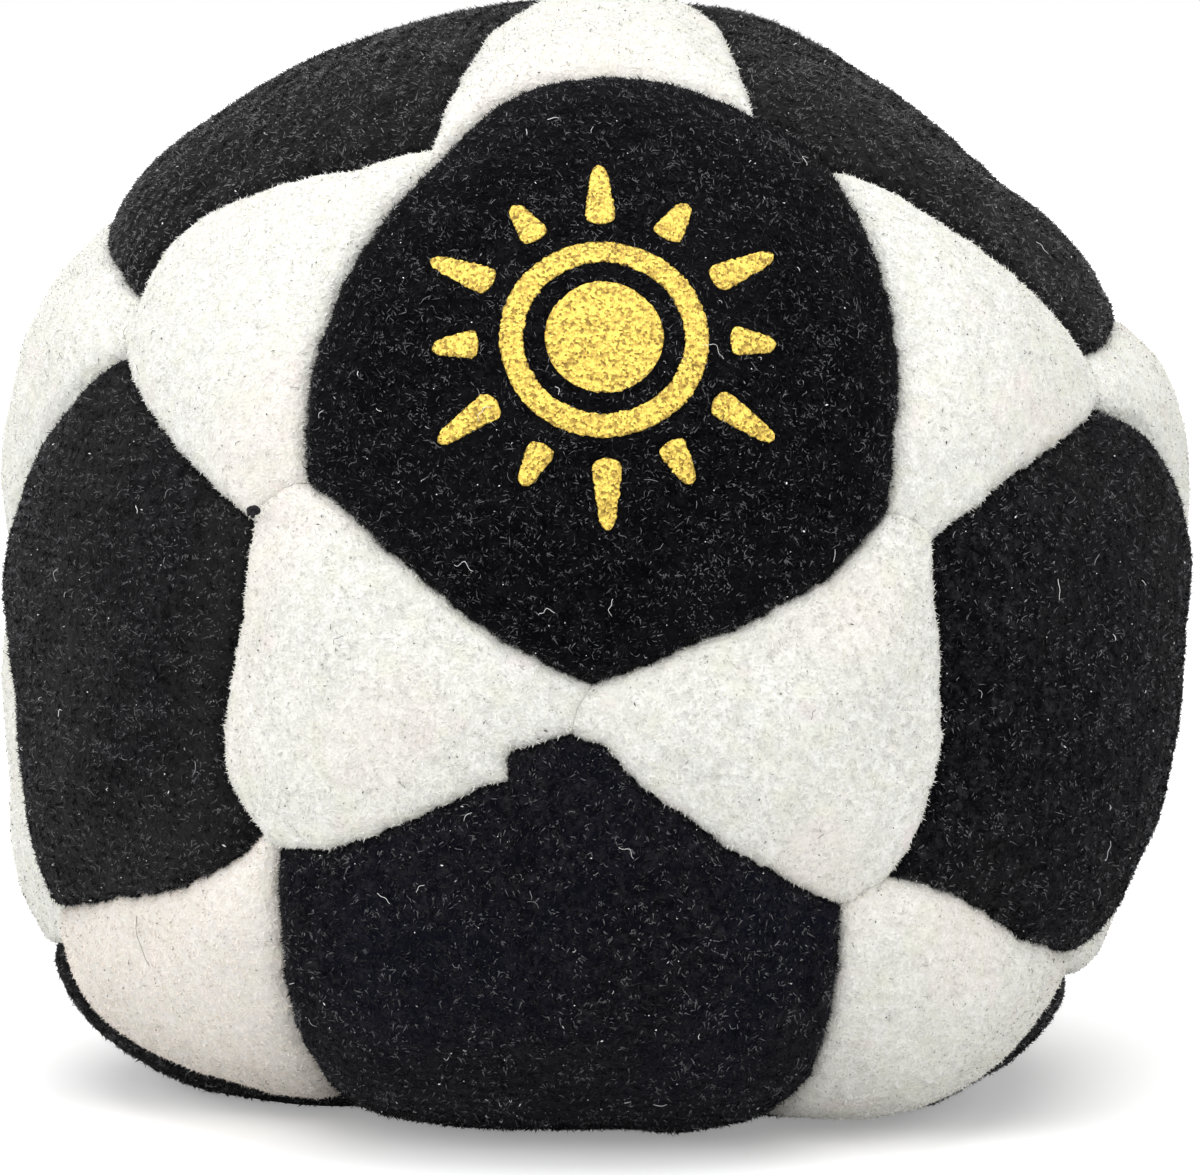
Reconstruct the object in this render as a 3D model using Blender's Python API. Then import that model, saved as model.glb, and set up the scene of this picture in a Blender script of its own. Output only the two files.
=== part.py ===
"""A footbag of 32 suede panels, 12 dark pentagons and 20 pale triangles, filled with loose pellets.

The bag stands on a flat floor at z = 0 with its middle over the origin. The front pentagon faces -Y, +X is
to the right of someone who looks at it, and +Z is up. Lengths are in metres and angles in degrees.

How the bag is put together: every panel is cut with a seam allowance, the allowances are turned in and sewn
face to face, and one run of thread goes round each pentagon in the notch between the turned-in edges. The
panels stand on a net of 30 corners, at each of which two pentagons and two triangles meet. The filled bag
slumps, so the net is laid over a squat body with a nearly flat base, and the panels under it are pressed
flat where they rest.
"""
import math

import bmesh
import bpy
import numpy as np
from mathutils import Euler

# The filled bag, measured over the crowns of its panels
half_width = 0.0280
crown_height = 0.0287
base_drop = 0.0238
flat_cut = 0.0005
crown_squareness = 2.28
base_squareness = 3.1

# How the net of panels is turned on the bag: the front pentagon tips up, then the bag leans a little
front_tip_angle = -27.3
lean_angle = 4.0

# Suede and seams
suede_thickness = 0.00075
seam_depth = 0.0013
roll_reach = 0.0040
roll_power = 3.0
sewn_gap = 0.0003
allowance_depth = 0.0030
allowance_spread = 0.0007

# Thread, and the knot that closes the last seam
thread_radius = 0.00022
stitch_depth = 0.0021
thread_end_gap = 0.0010
knot_radius = 0.00040
knot_thread_radius = 0.00007
knot_lift = 0.0011

# Pellets
pellet_clearance = 0.0006
pellet_shoulder_run = 0.0008

# Rings of points that carry a panel's crown, measured in from its seams
crown_inset = 0.0065
shoulder_inset = 0.0030
roll_inset = 0.0012
inset_limit_share = 0.7

# Counts of steps
seam_steps = 6
pellet_seam_steps = 3
knot_steps = 24
halvings = 26

# The pentagons round the front one, from the lowest towards the right, and the one opposite each of them
ring_names = ("lower_front", "right", "top_right", "top_left", "left")
opposite_names = ("upper_back", "back_left", "bottom_left", "bottom_right", "back_right")

# Each triangle is named by its place, and known by the three pentagons round it
triangle_names = {
    ("front", "left", "lower_front"): "front_lower_left",
    ("front", "lower_front", "right"): "front_lower_right",
    ("front", "left", "top_left"): "front_upper_left",
    ("front", "right", "top_right"): "front_upper_right",
    ("front", "top_left", "top_right"): "top_front",
    ("bottom_left", "left", "lower_front"): "low_left",
    ("bottom_right", "lower_front", "right"): "low_right",
    ("bottom_left", "bottom_right", "lower_front"): "bottom_front",
    ("back_left", "left", "top_left"): "left_side_upper",
    ("back_left", "bottom_left", "left"): "left_side_lower",
    ("back_right", "right", "top_right"): "right_side_upper",
    ("back_right", "bottom_right", "right"): "right_side_lower",
    ("top_left", "top_right", "upper_back"): "top_back",
    ("back_left", "top_left", "upper_back"): "back_upper_left",
    ("back_right", "top_right", "upper_back"): "back_upper_right",
    ("bottom_left", "bottom_right", "lower_back"): "bottom_back",
    ("back_left", "bottom_left", "lower_back"): "back_lower_left",
    ("back_right", "bottom_right", "lower_back"): "back_lower_right",
    ("back_left", "lower_back", "upper_back"): "back_middle_left",
    ("back_right", "lower_back", "upper_back"): "back_middle_right",
}

# Where hand sewing has pulled a corner of the net: to the right, up, and how far its two pentagons stand
# apart with the triangles meeting between them, or the other way round where the last share is negative.
# All are shares of a seam's length.
corner_place_shares = {
    ("front", "lower_front"): (0.01, 0.00, 0.15),
    ("front", "left"): (-0.02, -0.05, 0.15),
    ("front", "top_left"): (0.04, -0.03, 0.06),
    ("front", "right"): (0.03, -0.01, 0.16),
    ("front", "top_right"): (0.00, 0.11, -0.22),
    ("left", "lower_front"): (0.04, 0.04, 0.06),
    ("lower_front", "right"): (-0.07, 0.05, 0.14),
    ("left", "top_left"): (0.08, -0.04, 0.16),
    ("right", "top_right"): (-0.05, -0.02, 0.18),
    ("bottom_left", "lower_front"): (-0.08, -0.12, 0.12),
    ("bottom_left", "left"): (-0.23, -0.12, 0.12),
    ("bottom_right", "lower_front"): (0.06, 0.06, 0.10),
    ("bottom_right", "right"): (-0.17, 0.07, 0.15),
    ("back_left", "top_left"): (0.10, 0.06, 0.12),
    ("back_right", "top_right"): (-0.06, 0.04, 0.12),
    ("back_left", "left"): (0.00, -0.04, 0.10),
    ("back_right", "right"): (0.00, 0.04, 0.10),
    ("top_left", "top_right"): (0.17, 0.26, 0.10),
    ("back_left", "bottom_left"): (0.03, -0.04, 0.14),
    ("back_right", "bottom_right"): (0.04, 0.03, 0.09),
    ("top_left", "upper_back"): (-0.03, 0.02, 0.08),
    ("top_right", "upper_back"): (0.02, -0.04, 0.13),
    ("back_left", "lower_back"): (0.02, 0.05, 0.07),
    ("back_right", "lower_back"): (-0.04, -0.02, 0.12),
    ("lower_back", "upper_back"): (0.03, 0.01, 0.15),
}
usual_corner_place_shares = (0.0, 0.0, 0.10)

# How far a pentagon's seam with a triangle bows out of the straight, away from the pentagon, and where along
# the seam it does so most. A seam is known by its pentagon and the two pentagons that its ends point to, and
# runs from the first of them to the second. All are shares of the seam's length.
seam_bow_shares = {
    ("front", "left", "top_left"): (0.08, 0.45),
    ("front", "top_left", "top_right"): (0.22, 0.48),
    ("front", "right", "top_right"): (0.05, 0.55),
    ("front", "lower_front", "right"): (0.07, 0.60),
    ("front", "left", "lower_front"): (0.04, 0.70),
    ("left", "front", "lower_front"): (-0.12, 0.70),
    ("left", "front", "top_left"): (-0.04, 0.55),
    ("left", "bottom_left", "lower_front"): (0.04, 0.78),
    ("left", "back_left", "top_left"): (0.10, 0.40),
    ("lower_front", "front", "left"): (-0.045, 0.65),
    ("lower_front", "front", "right"): (-0.02, 0.70),
    ("lower_front", "bottom_left", "left"): (-0.07, 0.40),
    ("lower_front", "bottom_right", "right"): (-0.01, 0.50),
    ("lower_front", "bottom_left", "bottom_right"): (0.22, 0.50),
    ("right", "front", "lower_front"): (-0.09, 0.65),
    ("right", "front", "top_right"): (0.02, 0.30),
    ("right", "bottom_right", "lower_front"): (-0.045, 0.65),
    ("right", "back_right", "top_right"): (0.18, 0.45),
    ("right", "back_right", "bottom_right"): (0.18, 0.50),
    ("bottom_left", "left", "lower_front"): (-0.12, 0.50),
    ("bottom_right", "lower_front", "right"): (-0.13, 0.50),
    ("top_left", "front", "left"): (-0.18, 0.68),
    ("top_left", "front", "top_right"): (-0.06, 0.70),
    ("top_right", "front", "top_left"): (-0.07, 0.60),
    ("top_right", "front", "right"): (-0.10, 0.55),
    ("upper_back", "top_left", "top_right"): (0.05, 0.40),
    ("upper_back", "back_left", "lower_back"): (-0.09, 0.60),
    ("lower_back", "back_right", "bottom_right"): (0.04, 0.50),
    ("back_left", "lower_back", "upper_back"): (0.03, 0.60),
    ("back_right", "bottom_right", "lower_back"): (-0.08, 0.35),
}
usual_bow_shares = (-0.04, 0.50)

# How far a panel swells beyond the squat body, or falls short of it, as a share of the body's radius there,
# and the angle from its middle over which that fades
panel_swell_shares = {
    "left": -0.03,
    "right": 0.05,
    "top_left": -0.03,
    "top_right": -0.05,
    "bottom_left": 0.03,
    "back_right": 0.01,
    "front_lower_left": -0.01,
    "front_lower_right": -0.015,
    "front_upper_left": -0.02,
    "low_right": 0.055,
    "left_side_upper": -0.02,
    "right_side_upper": 0.035,
    "right_side_lower": -0.02,
    "top_back": 0.015,
}
pentagon_swell_angle = 23.0
triangle_swell_angle = 17.0

up = np.array([0.0, 0.0, 1.0])
seam_angle = math.tau / 10
neighbour_angle = math.atan(2.0)


def unit(vectors):
    """Each row divided by its own length."""
    return vectors / np.linalg.norm(vectors, axis=-1, keepdims=True)


def flattened(vector, normal):
    """The part of a vector that lies square to a normal, at length 1."""
    return unit(vector - normal * (vector @ normal))


def pentagon_middles():
    """The 12 pentagons' directions: the front one, five round it at the same angle, and their opposites."""
    tilt = Euler((math.radians(front_tip_angle), math.radians(lean_angle), 0.0)).to_matrix()
    turn = np.array(tilt)
    front = np.array([0.0, -1.0, 0.0])
    right = np.array([1.0, 0.0, 0.0])
    found = {"front": turn @ front, "lower_back": turn @ -front}
    for step, (name, opposite) in enumerate(zip(ring_names, opposite_names)):
        angle = math.tau * step / len(ring_names)
        sideways = math.sin(angle) * right - math.cos(angle) * up
        found[name] = turn @ (math.cos(neighbour_angle) * front + math.sin(neighbour_angle) * sideways)
        found[opposite] = -found[name]
    return found


middles = pentagon_middles()
triangle_middles = {name: unit(sum(middles[side] for side in sides)) for sides, name in triangle_names.items()}


def are_neighbours(first, second):
    """Two pentagons share a corner of the net if their middles stand at the neighbour angle."""
    return middles[first] @ middles[second] > math.cos(neighbour_angle) / 2 and first != second


def body_radius(directions):
    """The distance from the bag's middle to the crown of its panels, along each direction.

    The body is a rounded solid of revolution: its half-width and its height above or below the widest level
    are joined by a curve whose power is the squareness, so a power of 2 is an ellipse and a higher one is
    flatter. Each panel's swell adds its share, fading with the angle from the panel's middle.
    """
    across = np.hypot(directions[:, 0], directions[:, 1]) / half_width
    above = directions[:, 2] > 0
    power = np.where(above, crown_squareness, base_squareness)
    height = np.where(above, crown_height, base_drop)
    radius = (across**power + np.abs(directions[:, 2] / height) ** power) ** (-1 / power)
    swell = np.ones(len(directions))
    for name, share in panel_swell_shares.items():
        is_pentagon = name in middles
        middle = middles[name] if is_pentagon else triangle_middles[name]
        fade = math.radians(pentagon_swell_angle if is_pentagon else triangle_swell_angle)
        angle = np.arccos(np.clip(directions @ middle, -1, 1))
        swell += share * np.exp(-((angle / fade) ** 2))
    return radius * swell


def corner_shares(first, second):
    """The corner shares of two pentagons, whichever is named first."""
    return corner_place_shares.get(tuple(sorted((first, second))), usual_corner_place_shares)


def corner_tip(pentagon, neighbour, third):
    """Where the seam between a pentagon and the triangle of all three ends, at the neighbour's corner."""
    right_share, up_share, split_share = corner_shares(pentagon, neighbour)
    regular = unit(middles[pentagon] + middles[neighbour])
    sideways = unit(np.cross(up, regular))
    pull = right_share * sideways + up_share * np.cross(regular, sideways)
    corner = unit(regular + seam_angle * pull)
    if split_share >= 0:
        away = flattened(middles[pentagon] - middles[neighbour], corner)
    else:
        away = flattened(middles[third] - regular, corner)
    return unit(corner + away * seam_angle * abs(split_share) / 2)


def seam_run(pentagon, start, end, steps):
    """Directions along the seam between a pentagon and a triangle, from one neighbour's corner to another's.

    The seam is the great circle between its two ends, pushed sideways by its bow: half a sine wave whose
    middle is moved along the seam by raising the place to a power.
    """
    first, second = sorted((start, end))
    tip_a = corner_tip(pentagon, first, second)
    tip_b = corner_tip(pentagon, second, first)
    bow_share, peak_share = seam_bow_shares.get((pentagon, first, second), usual_bow_shares)
    places = np.linspace(0, 1, steps + 1)
    arc = math.acos(tip_a @ tip_b)
    line = (np.outer(np.sin((1 - places) * arc), tip_a) + np.outer(np.sin(places * arc), tip_b)) / math.sin(arc)
    outward = unit(np.cross(tip_a, tip_b))
    outward = outward * -np.sign(outward @ middles[pentagon])
    wave = np.sin(math.pi * places ** (math.log(0.5) / math.log(peak_share)))
    run = unit(line + np.outer(np.tan(bow_share * arc * wave), outward))
    return run if first == start else run[::-1]


def around(middle, names):
    """The named pentagons in order round a direction, turning left as seen from outside."""
    start = flattened(middles[names[0]], middle)
    left = np.cross(middle, start)
    return sorted(names, key=lambda name: math.atan2(middles[name] @ left, middles[name] @ start) % math.tau)


def neighbour_ring(name):
    """The five pentagons that share a corner with this one, in order round it."""
    return around(middles[name], [other for other in middles if are_neighbours(name, other)])


def joined(runs):
    """One closed outline from seam runs in order, with each shared end point kept once."""
    points = []
    for run, following in zip(runs, runs[1:] + runs[:1]):
        same_end = np.linalg.norm(run[-1] - following[0]) < seam_angle * 1e-6
        points.append(run[:-1] if same_end else run)
    return np.concatenate(points)


def pentagon_outline(name, steps):
    """The outline of a pentagon as directions, turning left as seen from outside."""
    ring = neighbour_ring(name)
    return joined([seam_run(name, a, b, steps) for a, b in zip(ring, ring[1:] + ring[:1])])


def triangle_outline(sides, steps):
    """The outline of a triangle: one seam with each of its three pentagons, and the short seams between."""
    a, b, c = around(triangle_middles[triangle_names[sides]], list(sides))
    return joined([seam_run(a, c, b, steps), seam_run(b, a, c, steps), seam_run(c, b, a, steps)])


def seam_level(directions):
    """Points at the level of the seams."""
    return directions * (body_radius(directions) - seam_depth)[:, None]


def distance_to_seam(directions, outline):
    """The distance of each direction's point, at the seams' level, from the nearest stretch of an outline."""
    points = seam_level(directions)[:, None]
    starts = seam_level(outline)[None]
    runs = np.roll(starts, -1, axis=1) - starts
    share = np.sum((points - starts) * runs, axis=2) / np.sum(runs * runs, axis=2)
    nearest = starts + runs * np.clip(share, 0, 1)[..., None]
    return np.linalg.norm(points - nearest, axis=2).min(axis=1)


def inset_ring(outline, inset):
    """Directions on the lines from the panel's middle to its outline, all at one distance from the seam.

    The place on each line is found by halving, since the distance falls steadily from middle to seam.
    """
    middle = unit(outline.mean(axis=0))
    near = np.zeros(len(outline))
    far = np.ones(len(outline))
    for _ in range(halvings):
        share = (near + far) / 2
        place = unit(middle + (outline - middle) * share[:, None])
        inside = distance_to_seam(place, outline) > inset
        near = np.where(inside, share, near)
        far = np.where(inside, far, share)
    return unit(middle + (outline - middle) * near[:, None])


def crown_inset_within(outline, inset):
    """An inset that fits the panel: no more than a share of the way from its seams to its middle."""
    reach = distance_to_seam(unit(outline.mean(axis=0))[None], outline)[0]
    return min(inset, reach * inset_limit_share)


def crown_points(directions, outline, below):
    """Points of the rolled and crowned surface, or of one that lies a distance below it.

    The surface drops from the body to the seam by a power of the share of the roll that is left, and where
    it would pass through the floor it lies flat on it.
    """
    roll = np.clip(1 - distance_to_seam(directions, outline) / roll_reach, 0, 1)
    points = directions * (body_radius(directions) - seam_depth * roll**roll_power - below)[:, None]
    points[:, 2] = np.maximum(points[:, 2], flat_cut - base_drop + below)
    return points


def allowance_points(directions, depth):
    """Points of the turned-in edge, at a depth below the seam."""
    return directions * (body_radius(directions) - seam_depth - depth)[:, None]


def ring_faces(rings, count):
    """Quads between rings of equal count, each ring further along the surface than the one before."""
    faces = []
    for ring in range(rings - 1):
        for step in range(count):
            following = (step + 1) % count
            low, high = ring * count, (ring + 1) * count
            faces.append((low + step, high + step, high + following, low + following))
    return faces


def panel_mesh(name, outline, insets):
    """A crowned panel with its edges turned in: rings over the top, round the edge and back underneath."""
    count = len(outline)
    middle = unit(outline.mean(axis=0))[None]
    crown_rings = [inset_ring(outline, crown_inset_within(outline, inset)) for inset in insets]
    rim = inset_ring(outline, sewn_gap / 2)
    rim_back = inset_ring(outline, sewn_gap / 2 + suede_thickness)
    edge = inset_ring(outline, sewn_gap / 2 + allowance_spread)
    edge_back = inset_ring(outline, sewn_gap / 2 + allowance_spread + suede_thickness)
    rings = [crown_points(ring, outline, 0.0) for ring in crown_rings + [rim]]
    rings += [allowance_points(edge, allowance_depth), allowance_points(edge_back, allowance_depth)]
    rings += [crown_points(ring, outline, suede_thickness) for ring in [rim_back] + crown_rings[:-1][::-1]]
    top = crown_points(middle, outline, 0.0)
    underside = crown_points(middle, outline, suede_thickness)
    points = np.concatenate(rings + [top, underside])
    top_index, underside_index = count * len(rings), count * len(rings) + 1
    faces = ring_faces(len(rings), count)
    last = count * (len(rings) - 1)
    for step in range(count):
        following = (step + 1) % count
        faces.append((top_index, step, following))
        faces.append((underside_index, last + following, last + step))
    return mesh_object(name, points, faces)


def pellet_mesh(name, outlines):
    """The pellets as one lobed solid: it bulges under each panel and dips below the turned-in edges."""
    foot_inset = sewn_gap / 2 + allowance_spread + suede_thickness + pellet_clearance
    cover = suede_thickness + pellet_clearance
    points, faces = [], []
    for outline in outlines:
        base = len(points)
        count = len(outline)
        foot = inset_ring(outline, foot_inset)
        shoulder = inset_ring(outline, crown_inset_within(outline, foot_inset + pellet_shoulder_run))
        middle = unit(outline.mean(axis=0))[None]
        points.extend(crown_points(shoulder, outline, cover))
        points.extend(allowance_points(foot, allowance_depth + pellet_clearance))
        points.extend(allowance_points(outline, allowance_depth + pellet_clearance))
        points.extend(crown_points(middle, outline, cover))
        faces += [tuple(base + index for index in face) for face in ring_faces(3, count)]
        faces += [(base + 3 * count, base + step, base + (step + 1) % count) for step in range(count)]
    return mesh_object(name, np.array(points), faces)


def mesh_object(name, points, faces):
    """A mesh object with its origin at the middle of its points, and shared points merged."""
    origin = points.mean(axis=0)
    mesh = bpy.data.meshes.new(name)
    mesh.from_pydata((points - origin).tolist(), [], faces)
    work = bmesh.new()
    work.from_mesh(mesh)
    bmesh.ops.remove_doubles(work, verts=work.verts, dist=sewn_gap / 1000)
    work.to_mesh(mesh)
    work.free()
    mesh.shade_smooth()
    thing = bpy.data.objects.new(name, mesh)
    thing.location = origin
    bpy.context.collection.objects.link(thing)
    return thing


def tube_object(name, points, radius, closed):
    """A thread along points: a curve with a round bevel, and with filled ends where it is open."""
    curve = bpy.data.curves.new(name, "CURVE")
    curve.dimensions = "3D"
    curve.bevel_depth = radius
    curve.bevel_resolution = 0
    curve.use_fill_caps = not closed
    origin = points.mean(axis=0)
    spline = curve.splines.new("POLY")
    spline.points.add(len(points) - 1)
    for target, place in zip(spline.points, points - origin):
        target.co = (*place, 1.0)
    spline.use_cyclic_u = closed
    thing = bpy.data.objects.new(name, curve)
    thing.location = origin
    bpy.context.collection.objects.link(thing)
    return thing


def shortened(points, cut):
    """An open line of points with a length cut off each end."""
    lengths = np.linalg.norm(np.diff(points, axis=0), axis=1)
    places = np.concatenate([[0.0], np.cumsum(lengths)])
    kept = places[(places > cut) & (places < places[-1] - cut)]
    places_kept = np.concatenate([[cut], kept, [places[-1] - cut]])
    return np.stack([np.interp(places_kept, places, points[:, axis]) for axis in range(3)], axis=1)


def seam_thread(name):
    """The thread round one pentagon, in the notch below its seams. Its ends stop short of one corner.

    Where two pentagons share a short seam, the run starts there, and only the first of the two in the
    alphabet has its thread along that seam.
    """
    ring = neighbour_ring(name)
    first = ring.index(min(ring, key=lambda other: corner_shares(name, other)[2]))
    ring = ring[first:] + ring[:first]
    outline = joined([seam_run(name, a, b, seam_steps) for a, b in zip(ring, ring[1:] + ring[:1])])
    leaves_short_seam = corner_shares(name, ring[0])[2] < 0 and name > ring[0]
    path = outline if leaves_short_seam else np.concatenate([outline, outline[:1]])
    points = shortened(allowance_points(path, stitch_depth), thread_end_gap)
    return tube_object(name + "_seam_thread", points, thread_radius, False)


def closing_knot():
    """A small overhand knot, drawn as a trefoil, in the dimple at the corner of the left pentagon."""
    outward = corner_tip("left", "front", "top_left")
    sideways = unit(np.cross(up, outward))
    upward = np.cross(outward, sideways)
    turn = math.tau * np.arange(knot_steps) / knot_steps
    scale = knot_radius / 3
    across = scale * (np.sin(turn) + 2 * np.sin(2 * turn))
    along = scale * (np.cos(turn) - 2 * np.cos(2 * turn))
    out = -scale * np.sin(3 * turn)
    middle = seam_level(outward[None]) + outward * knot_lift
    points = middle + np.outer(across, sideways) + np.outer(along, upward) + np.outer(out, outward)
    return tube_object("closing_knot", points, knot_thread_radius, True)


def material(name, colour, roughness):
    """A Principled material with no metal in it."""
    made = bpy.data.materials.new(name)
    made.use_nodes = True
    shader = made.node_tree.nodes["Principled BSDF"]
    shader.inputs["Base Color"].default_value = (*colour, 1.0)
    shader.inputs["Roughness"].default_value = roughness
    shader.inputs["Metallic"].default_value = 0.0
    return made


def build():
    """Every piece, hung on one empty that lifts the bag onto the floor and centres it over the origin."""
    for thing in list(bpy.data.objects):
        bpy.data.objects.remove(thing)
    dark_suede = material("dark_suede", (0.012, 0.012, 0.014), 0.95)
    pale_suede = material("pale_suede", (0.80, 0.79, 0.77), 0.95)
    thread = material("thread", (0.03, 0.03, 0.03), 0.6)
    pellets = material("pellets", (0.55, 0.53, 0.48), 0.5)
    pieces = []
    for name in middles:
        outline = pentagon_outline(name, seam_steps)
        insets = (crown_inset, shoulder_inset, roll_inset)
        pieces.append((panel_mesh(name + "_pentagon", outline, insets), dark_suede))
    for sides, name in triangle_names.items():
        outline = triangle_outline(sides, seam_steps)
        pieces.append((panel_mesh(name + "_triangle", outline, (shoulder_inset, roll_inset)), pale_suede))
    panels = [piece for piece, _ in pieces]
    for name in middles:
        pieces.append((seam_thread(name), thread))
    pieces.append((closing_knot(), thread))
    outlines = [pentagon_outline(name, pellet_seam_steps) for name in middles]
    outlines += [triangle_outline(sides, pellet_seam_steps) for sides in triangle_names]
    pieces.append((pellet_mesh("pellet_fill", outlines), pellets))

    bag = bpy.data.objects.new("footbag", None)
    bpy.context.collection.objects.link(bag)
    corners = np.array([panel.location + vertex.co for panel in panels for vertex in panel.data.vertices])
    middle = (corners.min(axis=0) + corners.max(axis=0)) / 2
    bag.location = (-middle[0], -middle[1], -corners[:, 2].min())
    for piece, finish in pieces:
        piece.data.materials.append(finish)
        piece.parent = bag
    print("pieces", len(pieces), "size in mm", np.round((corners.max(axis=0) - corners.min(axis=0)) * 1000, 2))


build()
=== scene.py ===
# %% [markdown]
# # A footbag sewn from 32 suede panels
# The bag is a small ball of suede, 12 dark pentagons and 20 pale triangles, filled loosely with pellets, so
# it slumps on the table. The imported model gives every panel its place. This lesson dresses it: each panel
# becomes a finely curved piece of suede with its edges turned in, its nap is made of real short fibres, and
# the print, knot, lint and loose hairs are added as geometry.

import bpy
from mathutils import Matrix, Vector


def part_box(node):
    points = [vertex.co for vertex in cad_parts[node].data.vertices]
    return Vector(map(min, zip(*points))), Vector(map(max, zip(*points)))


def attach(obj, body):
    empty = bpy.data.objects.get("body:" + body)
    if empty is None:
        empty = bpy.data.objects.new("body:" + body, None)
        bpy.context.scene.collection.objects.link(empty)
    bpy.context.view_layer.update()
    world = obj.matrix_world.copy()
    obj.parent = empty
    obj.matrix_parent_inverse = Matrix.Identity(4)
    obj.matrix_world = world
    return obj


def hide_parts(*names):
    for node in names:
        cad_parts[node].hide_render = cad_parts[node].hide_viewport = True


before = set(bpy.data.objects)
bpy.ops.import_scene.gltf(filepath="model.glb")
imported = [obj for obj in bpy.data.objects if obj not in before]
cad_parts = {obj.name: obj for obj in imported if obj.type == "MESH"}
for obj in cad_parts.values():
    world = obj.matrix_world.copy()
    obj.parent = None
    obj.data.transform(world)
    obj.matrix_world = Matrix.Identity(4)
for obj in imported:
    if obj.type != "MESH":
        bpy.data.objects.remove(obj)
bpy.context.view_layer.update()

# %% Modules and lengths
import math
from itertools import combinations

import bpy
import numpy as np
from mathutils import Euler, Vector
from mathutils.bvhtree import BVHTree

millimetre = 0.001
up = np.array([0.0, 0.0, 1.0])
bag_middle = np.array([-0.0004042676, -0.0000728443, 0.0233000014])
print("the bag's middle lies", round(bag_middle[2] / millimetre, 1), "mm above the floor")

# %% [markdown]
# ## Camera
# The photograph is taken from just above the table, close to the bag, with a long lens. The camera could be
# placed by eye, but the net's corners were fitted to the photograph, which gives one focal length in pixels
# and the point where the lens points. A small shift keeps that point off the middle of the frame.

# %% Camera
frame_width, frame_height = 1200, 1175
focal_pixels = 6280.0
aim_x, aim_y = 584.0, 600.0
camera_distance = 0.2996
camera_elevation = math.radians(6.0)

camera_data = bpy.data.cameras.new("photograph")
camera_data.sensor_width = 36.0
camera_data.lens = focal_pixels / frame_width * camera_data.sensor_width
camera_data.shift_x = (frame_width / 2 - aim_x) / frame_width
camera_data.shift_y = (aim_y - frame_height / 2) / frame_width
camera_data.clip_start = 0.01
camera = bpy.data.objects.new("photograph", camera_data)
bpy.context.collection.objects.link(camera)
camera_back = np.array([0.0, -math.cos(camera_elevation), math.sin(camera_elevation)])
camera_up = np.array([0.0, math.sin(camera_elevation), math.cos(camera_elevation)])
camera.location = bag_middle + camera_back * camera_distance
camera.rotation_euler = (math.pi / 2 - camera_elevation, 0.0, 0.0)
bpy.context.scene.camera = camera
print("lens", round(camera_data.lens, 1), "mm")

# %% [markdown]
# ## Shader maths as Python
# A pattern in a material is a sum of many small nodes. Wrapping a socket in a small class lets ordinary
# arithmetic add the Math nodes, so a formula reads as a formula. Every other node comes from one method.

# %% A socket that does arithmetic
class Socket:
    """A node's output in a material. Arithmetic on it adds Math nodes, and make() adds any other node."""

    def __init__(self, tree, output=None):
        self.tree = tree
        self.output = output

    def make(self, kind, settings, inputs, output=0):
        """Adds a node: first its settings, then the values or links of its sockets."""
        node = self.tree.nodes.new("ShaderNode" + kind)
        for name, value in settings.items():
            if name == "stops":
                for element, (position, colour) in zip(node.color_ramp.elements, value):
                    element.position = position
                    element.color = colour
            else:
                setattr(node, name, value)
        for name, value in inputs.items():
            if isinstance(value, Socket):
                value.feed(node, name)
            else:
                node.inputs[name].default_value = value
        return Socket(self.tree, node.outputs[output])

    def feed(self, node, name):
        """Links this socket to one of a node's own."""
        self.tree.links.new(self.output, node.inputs[name])

    def maths(self, operation, first, second):
        return self.make("Math", {"operation": operation}, {0: first, 1: second})

    def __add__(self, other):
        return self.maths("ADD", self, other)

    def __rsub__(self, other):
        return self.maths("SUBTRACT", other, self)

    def __mul__(self, other):
        return self.maths("MULTIPLY", self, other)

    __radd__ = __add__

    def clamped(self):
        """The value held between 0 and 1."""
        return self.make("Clamp", {}, {"Value": self})

    def ramped(self, low, high):
        """0 at or below low, 1 at or above high, and even in between."""
        return self.make("MapRange", {"clamp": True}, {"Value": self, "From Min": low, "From Max": high})

    def noise(self, size, detail=2.0, offset=0.0, roughness=0.5):
        """A cloudy pattern on this vector whose blots are about size metres across, from 0 to 1."""
        place = self.make("Mapping", {}, {"Vector": self, "Location": (offset, offset, -offset)})
        inputs = {"Vector": place, "Scale": 1 / size, "Detail": detail, "Roughness": roughness}
        return self.make("TexNoise", {"noise_dimensions": "3D"}, inputs)

    def mixed(self, first, second):
        """From the first colour to the second as this value goes from 0 to 1."""
        return self.make("Mix", {"data_type": "RGBA"}, {0: self, 6: first, 7: second}, 2)

    def cells(self, size):
        """Random cells on this vector: the distance from a cell's middle, and a value of chance for each."""
        inputs = {"Vector": self, "Scale": 1 / size}
        near = self.make("TexVoronoi", {"feature": "F1"}, inputs, "Distance")
        colour = self.make("TexVoronoi", {"feature": "F1"}, inputs, "Color")
        return near, self.make("SeparateColor", {}, {"Color": colour}, "Red")

    def bumps(self, shader, strength, distance):
        """Lets the light see this value as height."""
        inputs = {"Strength": strength, "Distance": distance, "Height": self}
        self.make("Bump", {}, inputs).feed(shader, "Normal")


def new_material(name, values):
    """A material, its Principled shader with the values that are even all over, and a first socket."""
    made = bpy.data.materials.new(name)
    made.use_nodes = True
    shader = made.node_tree.nodes["Principled BSDF"]
    for socket, value in values.items():
        shader.inputs[socket].default_value = value
    return made, shader, Socket(made.node_tree)


def rgb(red, green, blue):
    return (red, green, blue, 1.0)


print("shader helpers ready")

# %% [markdown]
# ## The net of panels
# A cutter makes 12 pentagons and 20 triangles from two templates, and a sewer joins them so that two of
# each meet at every corner. Sewn by hand, no corner is perfect: two of the four panels meet a little way
# apart, and the seams bow. The frame's solids came from the same kinds of numbers. They are set here again,
# a little closer to the photograph, so that the fine surface follows the seams that it shows.

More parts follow.
